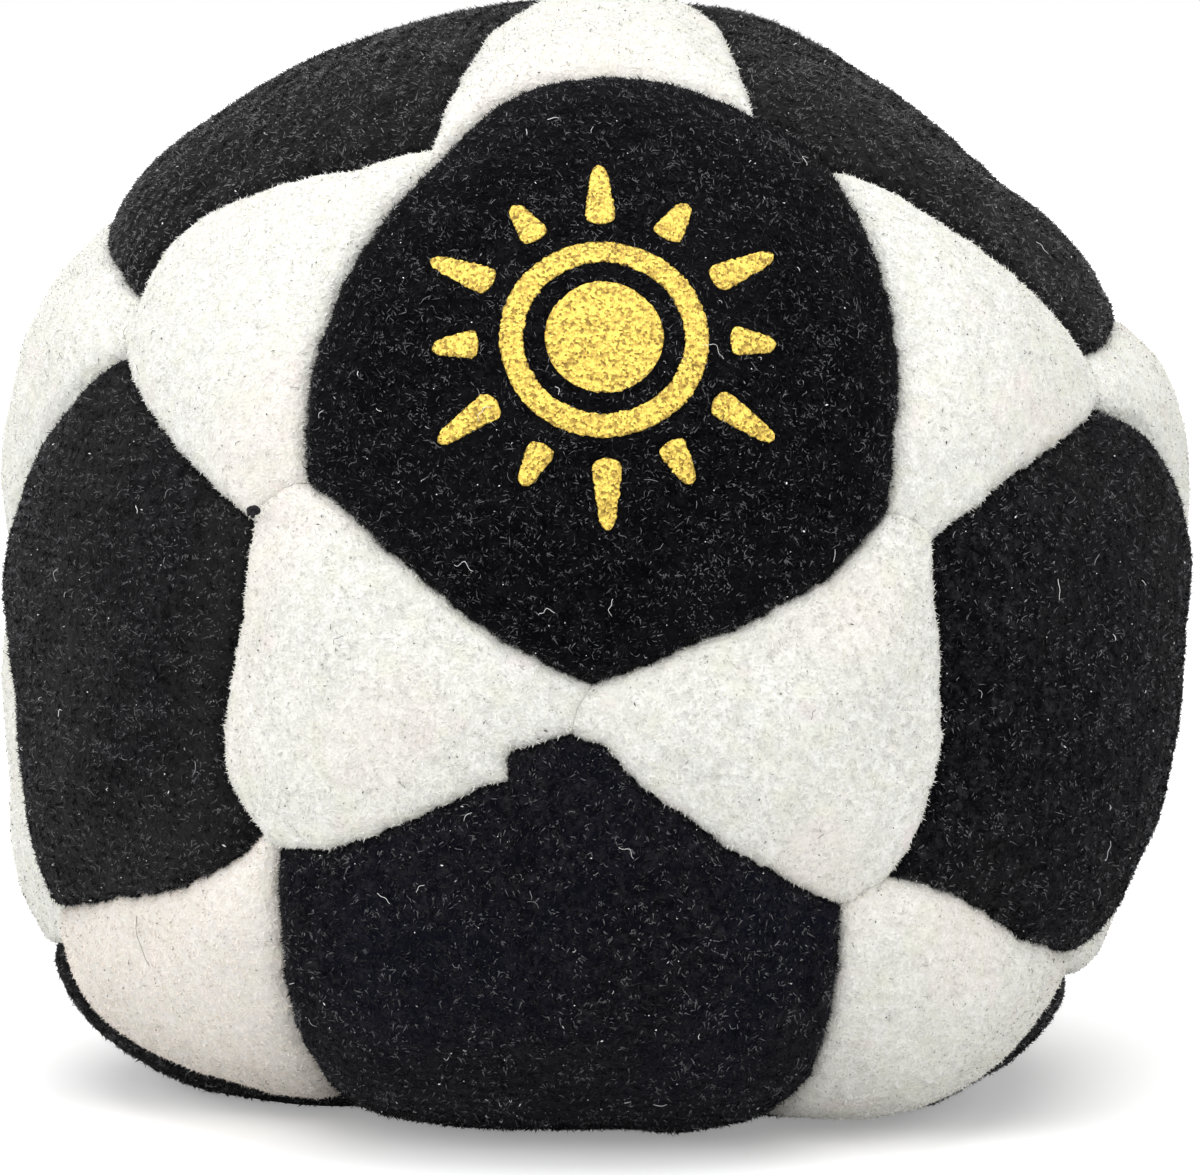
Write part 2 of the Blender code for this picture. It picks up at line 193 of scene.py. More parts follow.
# %% Sizes of the net and the squat body
half_width = 0.0280
crown_height = 0.0287
base_drop = 0.0238
crown_squareness = 2.28
base_squareness = 3.1
front_tip_angle = -27.3
lean_angle = 4.0
seam_depth = 0.0013
seam_angle = math.tau / 10
neighbour_angle = math.atan(2.0)

ring_names = ("lower_front", "right", "top_right", "top_left", "left")
opposite_names = ("upper_back", "back_left", "bottom_left", "bottom_right", "back_right")

triangle_names = {
    ("front", "left", "lower_front"): "front_lower_left",
    ("front", "lower_front", "right"): "front_lower_right",
    ("front", "left", "top_left"): "front_upper_left",
    ("front", "right", "top_right"): "front_upper_right",
    ("front", "top_left", "top_right"): "top_front",
    ("bottom_left", "left", "lower_front"): "low_left",
    ("bottom_right", "lower_front", "right"): "low_right",
    ("bottom_left", "bottom_right", "lower_front"): "bottom_front",
    ("back_left", "left", "top_left"): "left_side_upper",
    ("back_left", "bottom_left", "left"): "left_side_lower",
    ("back_right", "right", "top_right"): "right_side_upper",
    ("back_right", "bottom_right", "right"): "right_side_lower",
    ("top_left", "top_right", "upper_back"): "top_back",
    ("back_left", "top_left", "upper_back"): "back_upper_left",
    ("back_right", "top_right", "upper_back"): "back_upper_right",
    ("bottom_left", "bottom_right", "lower_back"): "bottom_back",
    ("back_left", "bottom_left", "lower_back"): "back_lower_left",
    ("back_right", "bottom_right", "lower_back"): "back_lower_right",
    ("back_left", "lower_back", "upper_back"): "back_middle_left",
    ("back_right", "lower_back", "upper_back"): "back_middle_right",
}


def kind_of(name):
    """The last word of a name, which says what kind of piece it is."""
    return name.rsplit("_", 1)[1]


print("triangles in the net", len(triangle_names))

# %% Where hand sewing has pulled the corners
# To the right, up, and how far the two pentagons stand apart there, as shares of a seam's length. Where the
# last share is negative, the two pentagons meet between the triangles.
corner_place_shares = {
    ("front", "lower_front"): (0.005, 0.00, 0.15),
    ("front", "left"): (-0.03, -0.05, 0.15),
    ("front", "top_left"): (0.04, -0.03, 0.06),
    ("front", "right"): (0.03, -0.01, 0.16),
    ("front", "top_right"): (0.00, 0.11, -0.22),
    ("left", "lower_front"): (0.04, 0.04, 0.06),
    ("lower_front", "right"): (-0.07, 0.05, 0.14),
    ("left", "top_left"): (0.14, -0.05, 0.16),
    ("right", "top_right"): (-0.05, -0.03, 0.145),
    ("bottom_left", "lower_front"): (-0.13, -0.10, -0.10),
    ("bottom_left", "left"): (-0.045, -0.065, 0.11),
    ("bottom_right", "lower_front"): (0.06, 0.06, 0.10),
    ("bottom_right", "right"): (-0.19, 0.085, 0.07),
    ("back_left", "top_left"): (0.10, 0.06, 0.12),
    ("back_right", "top_right"): (-0.06, 0.04, 0.12),
    ("back_left", "left"): (0.00, -0.04, 0.10),
    ("back_right", "right"): (0.00, 0.04, 0.10),
    ("top_left", "top_right"): (0.17, 0.26, 0.10),
    ("back_left", "bottom_left"): (0.03, -0.04, 0.14),
    ("back_right", "bottom_right"): (0.04, 0.03, 0.09),
    ("top_left", "upper_back"): (-0.03, 0.02, 0.08),
    ("top_right", "upper_back"): (0.02, -0.04, 0.13),
    ("back_left", "lower_back"): (0.02, 0.05, 0.07),
    ("back_right", "lower_back"): (-0.04, -0.02, 0.12),
    ("lower_back", "upper_back"): (0.03, 0.01, 0.15),
}
usual_corner_place_shares = (0.0, 0.0, 0.10)

# How far the first pentagon's tip lies to the right and up of that, and the second's to the left and down.
corner_slant_shares = {
    ("front", "lower_front"): (0.023, -0.008),
    ("front", "left"): (0.015, 0.023),
}
print("corners set one by one", len(corner_place_shares))

# %% How the seams bow
# How far a pentagon's seam with a triangle bows away from the pentagon, and where along the seam it does so
# most, as shares of its length.
seam_bow_shares = {
    ("front", "left", "top_left"): (0.08, 0.45),
    ("front", "top_left", "top_right"): (0.22, 0.48),
    ("front", "right", "top_right"): (0.05, 0.55),
    ("front", "lower_front", "right"): (0.07, 0.60),
    ("front", "left", "lower_front"): (0.04, 0.70),
    ("left", "front", "lower_front"): (-0.12, 0.70),
    ("left", "front", "top_left"): (-0.04, 0.55),
    ("left", "bottom_left", "lower_front"): (0.04, 0.78),
    ("left", "back_left", "top_left"): (0.02, 0.40),
    ("left", "back_left", "bottom_left"): (-0.05, 0.50),
    ("lower_front", "front", "left"): (-0.045, 0.65),
    ("lower_front", "front", "right"): (-0.02, 0.70),
    ("lower_front", "bottom_left", "left"): (-0.07, 0.40),
    ("lower_front", "bottom_right", "right"): (-0.01, 0.50),
    ("lower_front", "bottom_left", "bottom_right"): (0.22, 0.50),
    ("right", "front", "lower_front"): (-0.09, 0.65),
    ("right", "front", "top_right"): (0.03, 0.30),
    ("right", "bottom_right", "lower_front"): (-0.045, 0.75),
    ("right", "back_right", "top_right"): (0.13, 0.45),
    ("right", "back_right", "bottom_right"): (0.18, 0.50),
    ("bottom_left", "left", "lower_front"): (-0.095, 0.40),
    ("bottom_right", "lower_front", "right"): (-0.012, 0.50),
    ("top_left", "front", "left"): (-0.125, 0.72),
    ("top_left", "front", "top_right"): (-0.06, 0.70),
    ("top_left", "back_left", "left"): (0.03, 0.50),
    ("top_right", "front", "top_left"): (-0.07, 0.60),
    ("top_right", "front", "right"): (-0.01, 0.60),
    ("top_right", "back_right", "right"): (0.06, 0.45),
    ("upper_back", "top_left", "top_right"): (0.05, 0.40),
    ("upper_back", "back_left", "lower_back"): (-0.09, 0.60),
    ("lower_back", "back_right", "bottom_right"): (0.04, 0.50),
    ("back_left", "lower_back", "upper_back"): (0.03, 0.60),
    ("back_right", "bottom_right", "lower_back"): (-0.08, 0.35),
}
usual_bow_shares = (-0.04, 0.50)

# A short bump that the seam makes besides: where along it, how far it reaches and how far it stands out.
seam_bump_shares = {
    ("lower_front", "front", "right"): (0.10, 0.06, 0.034),
    ("top_left", "front", "left"): (0.19, 0.07, 0.036),
}
step_seam = ("lower_front", "front", "left")
print("seams set one by one", len(seam_bow_shares))

# %% How far the pellets push single panels out, as shares of the bag's radius
panel_swell_shares = {
    "left": -0.03,
    "right": 0.05,
    "top_left": -0.025,
    "top_right": -0.05,
    "bottom_left": 0.058,
    "bottom_right": 0.040,
    "back_right": 0.01,
    "front_lower_left": -0.01,
    "front_lower_right": -0.015,
    "front_upper_left": -0.02,
    "low_right": 0.055,
    "left_side_upper": -0.005,
    "right_side_upper": 0.035,
    "right_side_lower": -0.05,
    "top_back": 0.015,
}
pentagon_swell_angle = math.radians(23.0)
triangle_swell_angle = math.radians(17.0)

# Small bumps and hollows at a pentagon's middle, or between the middles of the pentagons that are named.
# A pentagon that is named twice weighs double.
body_bump_shares = {
    ("top_right",): -0.047,
    ("top_left",): -0.034,
    ("back_left", "top_left"): 0.029,
    ("top_right", "top_right", "top_left"): 0.014,
    ("top_right", "top_right", "back_right"): -0.016,
    ("back_left", "left"): 0.007,
    ("bottom_left",): -0.018,
    ("back_right", "back_right", "right"): 0.025,
    ("bottom_left", "bottom_left", "left"): 0.030,
    ("back_left", "bottom_left", "left"): -0.012,
    ("top_left", "top_right"): 0.019,
    ("back_right", "right", "top_right"): 0.010,
    ("back_left", "left", "top_left"): 0.015,
    ("back_right", "bottom_right", "right"): 0.020,
}
body_bump_angle = math.radians(13.0)
print("swells", len(panel_swell_shares), "bumps", len(body_bump_shares))


# %% Directions of the panels' middles
def unit(vectors):
    """Each row divided by its own length."""
    return vectors / np.linalg.norm(vectors, axis=-1, keepdims=True)


def flattened(vectors, normals):
    """The part of each vector that lies square to its normal, at length 1."""
    return unit(vectors - normals * np.sum(vectors * normals, axis=-1, keepdims=True))


def pentagon_middles():
    """The front pentagon's direction, five round it at the neighbour angle, and the opposite of each."""
    turn = np.array(Euler((math.radians(front_tip_angle), math.radians(lean_angle), 0.0)).to_matrix())
    front = np.array([0.0, -1.0, 0.0])
    right = np.array([1.0, 0.0, 0.0])
    found = {"front": turn @ front, "lower_back": turn @ -front}
    for step, (name, opposite) in enumerate(zip(ring_names, opposite_names)):
        angle = math.tau * step / len(ring_names)
        sideways = math.sin(angle) * right - math.cos(angle) * up
        found[name] = turn @ (math.cos(neighbour_angle) * front + math.sin(neighbour_angle) * sideways)
        found[opposite] = -found[name]
    return found


middles = pentagon_middles()
triangle_middles = {
    name: unit(sum(middles[side] for side in sides)) for sides, name in triangle_names.items()
}
print(len(middles), "pentagons and", len(triangle_middles), "triangles")


# %% The squat body that the net lies on
def pulled_corner(first, second):
    """Where the corner of two neighbouring pentagons lies, and the directions to the right and up there."""
    right_share, up_share, _ = corner_place_shares.get((first, second), usual_corner_place_shares)
    regular = unit(middles[first] + middles[second])
    sideways = unit(np.cross(up, regular))
    upward = np.cross(regular, sideways)
    return unit(regular + seam_angle * (right_share * sideways + up_share * upward)), sideways, upward


neighbours = [pair for pair in combinations(sorted(middles), 2) if middles[pair[0]] @ middles[pair[1]] > 0]
net_corners = [pulled_corner(*pair)[0] for pair in neighbours]
dimple_depth = 0.00035
dimple_angle = math.radians(4.6)

bulges = []
for name, share in panel_swell_shares.items():
    if name in middles:
        bulges.append((middles[name], pentagon_swell_angle, share))
    else:
        bulges.append((triangle_middles[name], triangle_swell_angle, share))
for names, share in body_bump_shares.items():
    bulges.append((unit(sum(middles[name] for name in names)), body_bump_angle, share))


def bell(directions, middle, fade):
    """1 at the middle, falling off as a bell with the angle from it."""
    return np.exp(-((np.arccos(np.clip(directions @ middle, -1, 1)) / fade) ** 2))


def body_radius(directions):
    """The distance from the bag's middle to its crown along each direction.

    Half-width and height are joined by a curve whose power is the squareness. Each bulge fades as a bell
    with the angle from its own middle, and so does the dimple that the stitches pull at every corner.
    """
    across = np.hypot(directions[:, 0], directions[:, 1]) / half_width
    above = directions[:, 2] > 0
    power = np.where(above, crown_squareness, base_squareness)
    height = np.where(above, crown_height, base_drop)
    radius = (across**power + np.abs(directions[:, 2] / height) ** power) ** (-1 / power)
    swell = np.ones(len(directions))
    for middle, fade, share in bulges:
        swell += share * bell(directions, middle, fade)
    dimple = sum(bell(directions, corner, dimple_angle) for corner in net_corners)
    return radius * swell - dimple_depth * dimple


print("corners", len(net_corners), "bulges", len(bulges))


# %% Seams between the panels
seam_steps = 44
short_seam_steps = 6
step_place, step_rise, step_drop = 0.20, 0.052, 0.034
step_fade, step_run = 0.16, 0.012
step_points = np.array([0.33, 0.66])
short_seam_bow_share = 0.10
same_place = seam_angle / 1000
# Two sets of waves: how many half waves of each along a seam, their sizes beside each other, and the scale.
wobbles = (((3.0, 5.5, 9.0), (1.0, 0.8, 0.5), 0.0045), ((16.0, 25.0, 37.0), (1.0, 0.9, 0.8), 0.0030))
wobble_spread = (0.85, 1.15)
# The smaller the power, the nearer to the ends of its seam a wobble or a bump keeps its full size.
wobble_end_power, bump_end_power = 0.5, 0.3


def corner_tip(pentagon, neighbour, third):
    """Where the seam between a pentagon and the triangle of all three ends, at the neighbour's corner."""
    key = tuple(sorted((pentagon, neighbour)))
    split_share = corner_place_shares.get(key, usual_corner_place_shares)[2]
    corner, sideways, upward = pulled_corner(*key)
    if split_share >= 0:
        away = flattened(middles[pentagon] - middles[neighbour], corner)
    else:
        away = flattened(middles[third] - (middles[pentagon] + middles[neighbour]) / 2, corner)
    right_slant, up_slant = corner_slant_shares.get(key, (0.0, 0.0))
    slant = (right_slant * sideways + up_slant * upward) * (1 if pentagon == key[0] else -1)
    return unit(corner + away * seam_angle * abs(split_share) / 2 + slant * seam_angle)


def hand_wobble(places, seed):
    """Small waves of a hand-sewn seam: sines of growing count and random phase, still at both ends."""
    random = np.random.default_rng(seed)
    total = 0
    for counts, sizes, scale in wobbles:
        counts = np.array(counts) * random.uniform(*wobble_spread, 3)
        phases = random.uniform(0, math.tau, 3)
        total = total + scale * (np.sin(math.tau * np.outer(places, counts) / 2 + phases) @ np.array(sizes))
    return total * np.sin(math.pi * places) ** wobble_end_power


def closing_step(places):
    """The step where the last seam was sewn shut: it climbs to the step, drops at once and fades back."""
    before = step_rise * places / step_place
    after = -step_drop * np.exp(-(places - step_place) / step_fade)
    share = np.clip((places - step_place) / step_run, 0, 1)
    return (before * (1 - share) + after * share) * (places < 1)


def seam_run(pentagon, start, end):
    """Directions along a pentagon's seam with a triangle: a great circle pushed sideways by its bow."""
    first, second = sorted((start, end))
    key = (pentagon, first, second)
    tip_a = corner_tip(pentagon, first, second)
    tip_b = corner_tip(pentagon, second, first)
    bow_share, peak_share = seam_bow_shares.get(key, usual_bow_shares)
    places = np.linspace(0, 1, seam_steps + 1)
    if key == step_seam:
        places = np.sort(np.append(places[:-2], step_place + step_run * step_points))
        places = np.append(places[:-1], 1.0)
    arc = math.acos(tip_a @ tip_b)
    line = np.outer(np.sin((1 - places) * arc), tip_a) + np.outer(np.sin(places * arc), tip_b)
    line = line / math.sin(arc)
    outward = unit(np.cross(tip_a, tip_b))
    outward = outward * -np.sign(outward @ middles[pentagon])
    wave = bow_share * np.sin(math.pi * places ** (math.log(0.5) / math.log(peak_share)))
    wave = wave + hand_wobble(places, sum(map(ord, "".join(key))))
    if key == step_seam:
        wave = wave + closing_step(places)
    if key in seam_bump_shares:
        place, reach, height = seam_bump_shares[key]
        bump = height * np.exp(-(((places - place) / reach) ** 2))
        wave = wave + bump * np.sin(math.pi * places) ** bump_end_power
    run = unit(line + np.outer(np.tan(arc * wave), outward))
    return run if first == start else run[::-1]


def around(middle, names):
    """The named pentagons in order round a direction, turning left as seen from outside."""
    start = flattened(middles[names[0]], middle)
    left = np.cross(middle, start)
    return sorted(names, key=lambda name: math.atan2(middles[name] @ left, middles[name] @ start) % math.tau)


def linked(runs):
    """The long seams of a panel in order, with a short bowed seam where two of them don't meet.

    The bow is a sine, and it goes the same way for both panels that share the seam.
    """
    found = []
    places = np.linspace(0, 1, short_seam_steps + 1)[:, None]
    for run, following in zip(runs, runs[1:] + runs[:1]):
        found.append(run)
        start, end = run[-1], following[0]
        if np.linalg.norm(start - end) > same_place:
            aside = np.cross(start, end) * (1 if tuple(start) < tuple(end) else -1)
            bow = short_seam_bow_share * np.sin(math.pi * places)
            found.append(unit(start * (1 - places) + end * places + aside * bow))
    return found


def pentagon_runs(name):
    """The seams round a pentagon, turning left as seen from outside."""
    near = [other for other in middles if other != name and middles[name] @ middles[other] > 0]
    ring = around(middles[name], near)
    return linked([seam_run(name, a, b) for a, b in zip(ring, ring[1:] + ring[:1])])


def triangle_runs(sides):
    """The seams round a triangle, turning left as seen from outside."""
    a, b, c = around(triangle_middles[triangle_names[sides]], list(sides))
    return linked([seam_run(a, c, b), seam_run(b, a, c), seam_run(c, b, a)])


panel_runs = {name + "_pentagon": pentagon_runs(name) for name in middles}
panel_runs |= {name + "_triangle": triangle_runs(sides) for sides, name in triangle_names.items()}
print("points round the front pentagon", sum(len(run) - 1 for run in panel_runs["front_pentagon"]))

# %% [markdown]
# ## How a sewn suede panel curves
# The pellets press each panel out, and its seams hold it in. So the surface swells in the middle, falls
# gently towards a seam, and close to it rolls down almost square, because the edge is turned in and sewn
# face to face with its neighbour's. One profile over the distance from the seams gives all of that, and a
# few soft waves add the dents of a bag that has been kicked.

# %% Profile from the seam to the crown
fall_depth = 0.00075
fall_reach = 0.0046
fall_power = 2.6
short_seam_height = 0.00038
roll_depth = 0.00075
roll_reach = 0.00095
corner_softness = 5.0
suede_thickness = 0.00075
allowance_depth = 0.0030
floor_softness = 0.00012
lump_sizes = ((0.0085, 0.00008), (0.0031, 0.000035), (0.0013, 0.000012))
lump_seed = 11
still_reach = 1.2 * millimetre
press_reach = math.radians(2.6)
panel_press = {}


def waves(points, length, seed, count=14):
    """A smooth random field: sines of about one wavelength that run in many directions, added up.

    It is about 0 on average, and its usual size is 1.
    """
    random = np.random.default_rng(seed)
    ways = unit(random.normal(size=(count, 3))) * math.tau / (length * random.uniform(0.75, 1.4, (count, 1)))
    return np.sin(points @ ways.T + random.uniform(0, math.tau, count)).sum(axis=1) / math.sqrt(count / 2)


def distance_to_run(points, run):
    """The distance from each point to the nearest stretch of one seam."""
    starts = run * (body_radius(run) - seam_depth)[:, None]
    steps = np.diff(starts, axis=0)
    away = points[:, None] - starts[None, :-1]
    share = np.clip(np.sum(away * steps, axis=2) / np.sum(steps * steps, axis=1), 0, 1)
    return np.sqrt(np.sum((away - steps * share[..., None]) ** 2, axis=2).min(axis=1))


def seam_distance(directions, runs):
    """The distance to the panel's seams, rounded where two of them are equally near.

    The inverse distances are added as powers, so that no crease runs from the corners to the middle. A short
    seam counts as further away than it is, so the surface stays higher there and its valley is shallow.
    """
    points = directions * (body_radius(directions) - seam_depth)[:, None]
    total = np.zeros(len(points))
    for run in runs:
        extra = short_seam_height if len(run) == short_seam_steps + 1 else 0.0
        total += np.maximum(distance_to_run(points, run) + extra, 1e-7) ** -corner_softness
    return total ** (-1 / corner_softness)


def profile(distance):
    """The depth below the crown at a distance from the seam: a gentle fall by a power, and a round roll."""
    fall = fall_depth * np.clip(1 - distance / fall_reach, 0, 1) ** fall_power
    near = np.clip(1 - distance / roll_reach, 0, 1)
    return fall + roll_depth * (1 - np.sqrt(1 - near**2))


def pressed_out(directions, name):
    """How far the pellets push each place out: the simulated motion near it, weighted by a bell."""
    if name not in panel_press:
        return np.zeros(len(directions))
    ways, motion = panel_press[name]
    nearness = np.exp(2 * (directions @ ways.T - 1) / press_reach**2)
    return nearness @ motion / nearness.sum(axis=1)


def outer_surface(directions, name, below=0.0):
    """Points of the panel's outer face in the bag's frame, or of one that lies below it.

    The crown less the profile, with waves that are still at the seams. The height is flattened softly at the
    floor, by the logarithm of one plus its exponential.
    """
    distance = seam_distance(directions, panel_runs[name])
    still = 1 - np.exp(-((distance / still_reach) ** 2))
    crown = body_radius(directions) + pressed_out(directions, name) * still
    points = directions * (crown - profile(distance) - below)[:, None]
    for seed, (length, size) in enumerate(lump_sizes):
        points += directions * (size * still * waves(points, length, seed + lump_seed))[:, None]
    points = points + bag_middle
    height = points[:, 2] - below
    points[:, 2] = below + np.logaddexp(0, height / floor_softness) * floor_softness
    return points


print("a panel's edge lies", (fall_depth + roll_depth) / millimetre, "mm below its crown")

# %% [markdown]
# ## A panel as one closed piece
# Each panel is cut from a sheet 0.75 mm thick. Seen from outside it is a dome, but it goes on over the seam:
# the edge turns in and hangs inside the bag. The rings of the grid therefore run from the middle of the
# outer face over the rim, down the turned-in edge, round its end and back underneath. One closed skin of
# quads is simpler to check than a sheet with a Solidify modifier, whose wall would fold over at the rim.

# %% Faces and meshes
def mesh_object(name, points, faces, finishes, finish_index=None, smooth=True):
    """A mesh from an array of points and arrays of faces, each array holding faces of one corner count."""
    mesh = bpy.data.meshes.new(name)
    corners = np.concatenate([part.ravel() for part in faces]).astype(np.int32)
    counts = np.concatenate([np.full(len(part), part.shape[1]) for part in faces])
    mesh.vertices.add(len(points))
    mesh.vertices.foreach_set("co", np.asarray(points, np.float32).ravel())
    mesh.loops.add(len(corners))
    mesh.loops.foreach_set("vertex_index", corners)
    mesh.polygons.add(len(counts))
    mesh.polygons.foreach_set("loop_start", (np.cumsum(counts) - counts).astype(np.int32))
    for finish in finishes:
        mesh.materials.append(finish)
    if finish_index is not None:
        mesh.polygons.foreach_set("material_index", finish_index.astype(np.int32))
    mesh.polygons.foreach_set("use_smooth", np.full(len(counts), smooth))
    mesh.update(calc_edges=True)
    made = bpy.data.objects.new(name, mesh)
    bpy.context.collection.objects.link(made)
    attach(made, "root")
    return made


def ring_quads(rings, count):
    """Quads between closed rings of equal count, each ring further along the surface than the last."""
    low = np.arange((rings - 1) * count).reshape(rings - 1, count)
    following = np.roll(low, -1, axis=1)
    return np.stack([low, low + count, following + count, following], axis=-1).reshape(-1, 4)


def fan(middle, ring, outward):
    """Triangles from one point to a closed ring of points."""
    following = np.roll(ring, -1)
    sides = (ring, following) if outward else (following, ring)
    return np.stack([np.full(len(ring), middle), *sides], axis=1)


print("mesh helpers ready")


# %% [markdown]
# ## The pellets press the panels out
# A formula gives every panel the same swell, but real suede creases and bulges where it was cut a little too
# wide. Blender's cloth gives that: a coarse skin of all panels, its seams pinned, is blown up from inside by
# an even pressure, with a little more cloth than its frame needs. The solver works best on things about a
# metre across, so the skin is made twenty times as large for it. The formula already holds the usual swell,
# so only what departs from it is kept, smoothed and capped, and the fine surface moves with it.

# %% A coarse skin
cloth_scale = 20.0
cloth_rings = {"pentagon": 9, "triangle": 6}
cloth_stride = 4
cloth_frames = 20
cloth_settings = {
    "quality": 6,
    "vertex_group_mass": "seams",
    "bending_stiffness": 6.0,
    "shrink_min": -0.016,
    "use_pressure": True,
    "uniform_pressure_force": 2.5,
}
usual_press, most_press = 0.00027, 0.0005


def coarse_panel(name):
    """Directions of a panel's points at even shares of the way from the middle to the rim, and its faces."""
    outline = np.concatenate([run[:-1:cloth_stride] for run in panel_runs[name]])
    middle = unit(outline.mean(axis=0))
    rings, count = cloth_rings[kind_of(name)], len(outline)
    shares = np.linspace(0, 1, rings + 1)[1:, None, None]
    ways = unit(middle + (outline - middle) * shares).reshape(-1, 3)
    faces = ring_quads(rings, count).tolist() + fan(rings * count, np.arange(count), True).tolist()
    return np.concatenate([ways, middle[None]]), faces, np.arange(count) + (rings - 1) * count


def blown_up(points, faces, pinned):
    """The skin's points after Blender's cloth has pressed them out from inside with the pinned ones held."""
    mesh = bpy.data.meshes.new("skin")
    mesh.from_pydata(points.tolist(), [], faces)
    skin = bpy.data.objects.new("skin", mesh)
    bpy.context.collection.objects.link(skin)
    skin.vertex_groups.new(name="seams").add(pinned, 1.0, "REPLACE")
    cloth = skin.modifiers.new("pellets", "CLOTH")
    for setting, value in cloth_settings.items():
        setattr(cloth.settings, setting, value)
    cloth.settings.effector_weights.gravity = 0.0
    cloth.point_cache.frame_start, cloth.point_cache.frame_end = 1, cloth_frames
    for number in range(1, cloth_frames + 1):
        bpy.context.scene.frame_set(number)
    shown = skin.evaluated_get(bpy.context.evaluated_depsgraph_get()).data
    moved = np.empty(len(points) * 3, np.float32)
    shown.vertices.foreach_get("co", moved)
    bpy.data.objects.remove(skin)
    bpy.context.scene.frame_set(1)
    return moved.reshape(-1, 3).astype(float)


def simulated_press():
    """Each panel's directions, and how far beyond the usual its points moved outwards, within the cap."""
    parts, points, faces, pinned, base = {}, [], [], [], 0
    for name in panel_runs:
        ways, some_faces, rim = coarse_panel(name)
        parts[name] = ways
        points.append((outer_surface(ways, name) - bag_middle) * cloth_scale)
        faces += [[corner + base for corner in face] for face in some_faces]
        pinned += (rim + base).tolist()
        base += len(ways)
    points = np.concatenate(points)
    motion = (blown_up(points, faces, pinned) - points) / cloth_scale
    ends = np.cumsum([len(ways) for ways in parts.values()])[:-1]
    found = {}
    for (name, ways), part in zip(parts.items(), np.split(motion, ends)):
        outward = np.sum(part * ways, axis=1) - usual_press
        found[name] = (ways, np.clip(outward, -most_press, most_press))
    return found


panel_press.update(simulated_press())
pushed = np.concatenate([motion for _, motion in panel_press.values()]) / millimetre
print("pushed out in mm: least, mean, most", np.round([pushed.min(), pushed.mean(), pushed.max()], 2))

# %% The fine grid of one panel
outer_rings = {"pentagon": 34, "triangle": 26}
# How far inside the seam each ring of the turned-in edge runs, and at what share of the allowance's depth.
turned_in = ((0.0001, 0.3), (0.0003, 1.0), (0.0010, 1.0), (0.0011, 0.5))
inner_shares = (0.90, 0.7, 0.4)
rim_inset = 0.000004


def panel_grid(name):
    """A panel's points in rings, the faces of its whole skin, and how many outer rings of how many points."""
    outline = np.concatenate([run[:-1] for run in panel_runs[name]])
    middle = unit(outline.mean(axis=0))
    rings, count = outer_rings[kind_of(name)], len(outline)
    reach = np.linalg.norm(outline - middle, axis=1) * half_width
    # Even steps over a quarter of a sine crowd the rings towards the rim, where the surface turns fastest.
    shares = np.sin(np.linspace(0, math.pi / 2, rings + 1)[1:]) * np.ones((count, 1))
    shares = np.minimum(shares, 1 - rim_inset / reach[:, None]).T
    outer = unit(middle + (outline - middle) * shares[..., None]).reshape(-1, 3)
    parts = [outer_surface(outer, name)]
    rim = parts[0][-count:]
    for inset, depth in turned_in:
        way = unit(middle + (outline - middle) * (1 - inset / reach)[:, None])
        parts.append(rim + (way - outline) * half_width - outline * allowance_depth * depth)
    for share in inner_shares:
        way = unit(middle + (outline - middle) * share)
        parts.append(outer_surface(way, name, suede_thickness))
    parts += [outer_surface(middle[None], name, below) for below in (0.0, suede_thickness)]
    points = np.concatenate(parts)
    points[:, 2] = np.maximum(points[:, 2], 0.0)
    total = rings + len(turned_in) + len(inner_shares)
    first = np.arange(count)
    last = first + (total - 1) * count
    faces = [ring_quads(total, count), fan(total * count, first, True), fan(total * count + 1, last, False)]
    return points, faces, rings, count


grids = {name: panel_grid(name) for name in panel_runs}
print("triangles in the panels", sum(2 * len(faces[0]) + 2 * count for _, faces, _, count in grids.values()))

# %% [markdown]
# ## Suede
# Suede is the flesh side of a hide, sanded until it stands up as a fine nap. Close up it is a felt of fibres
# in slightly different shades, darker where the nap lies over and lighter where it stands. That shade of
# lying
# and standing nap is painted in: the fibres and the leather under them take darker and lighter shades in
# random clouds, partly their own tone and partly painted shade and light. The felt could be painted on, but a
# painted nap has a hard outline, so the short fibres are modelled, and the material under them only carries
# the colour
# in between: small clouds of tone and painted shade, a broad uneven tint and a fine bump.

# %% Finish of the leather under the nap
def suede(name, deep, raised, tint, tint_amount, clouds, sheen=0.03, shine=0.02):
    """Two shades in fine clouds, partly painted shade and light, broad clouds of other tints, soiling in its
    tint, and bump.
    """
    values = {"Roughness": 0.95, "Specular IOR Level": shine, "Sheen Weight": sheen, "Sheen Roughness": 0.45}
    made, shader, start = new_material(name, values)
    place = start.make("TexCoord", {}, {}, "Object")
    soil = start.make("Attribute", {"attribute_name": "soil"}, {}, "Fac")
    fine = place.noise(0.00014, 3.0, 0.0, 0.65)
    tufts = place.noise(0.0005, 2.0, 0.01)
    colour = (fine * 0.6 + tufts * 0.4).ramped(0.42, 0.60).mixed(deep, raised)
    for number, (cloud, size, low, high, amount) in enumerate(clouds):
        share = place.noise(size, 2.0, 0.02 * (number + 1)).ramped(low, high) * amount
        colour = share.mixed(colour, cloud)
    (soil * tint_amount).clamped().mixed(colour, tint).feed(shader, "Base Color")
    (fine * 0.5 + tufts * 1.0).bumps(shader, 0.9, 0.00020)
    return made
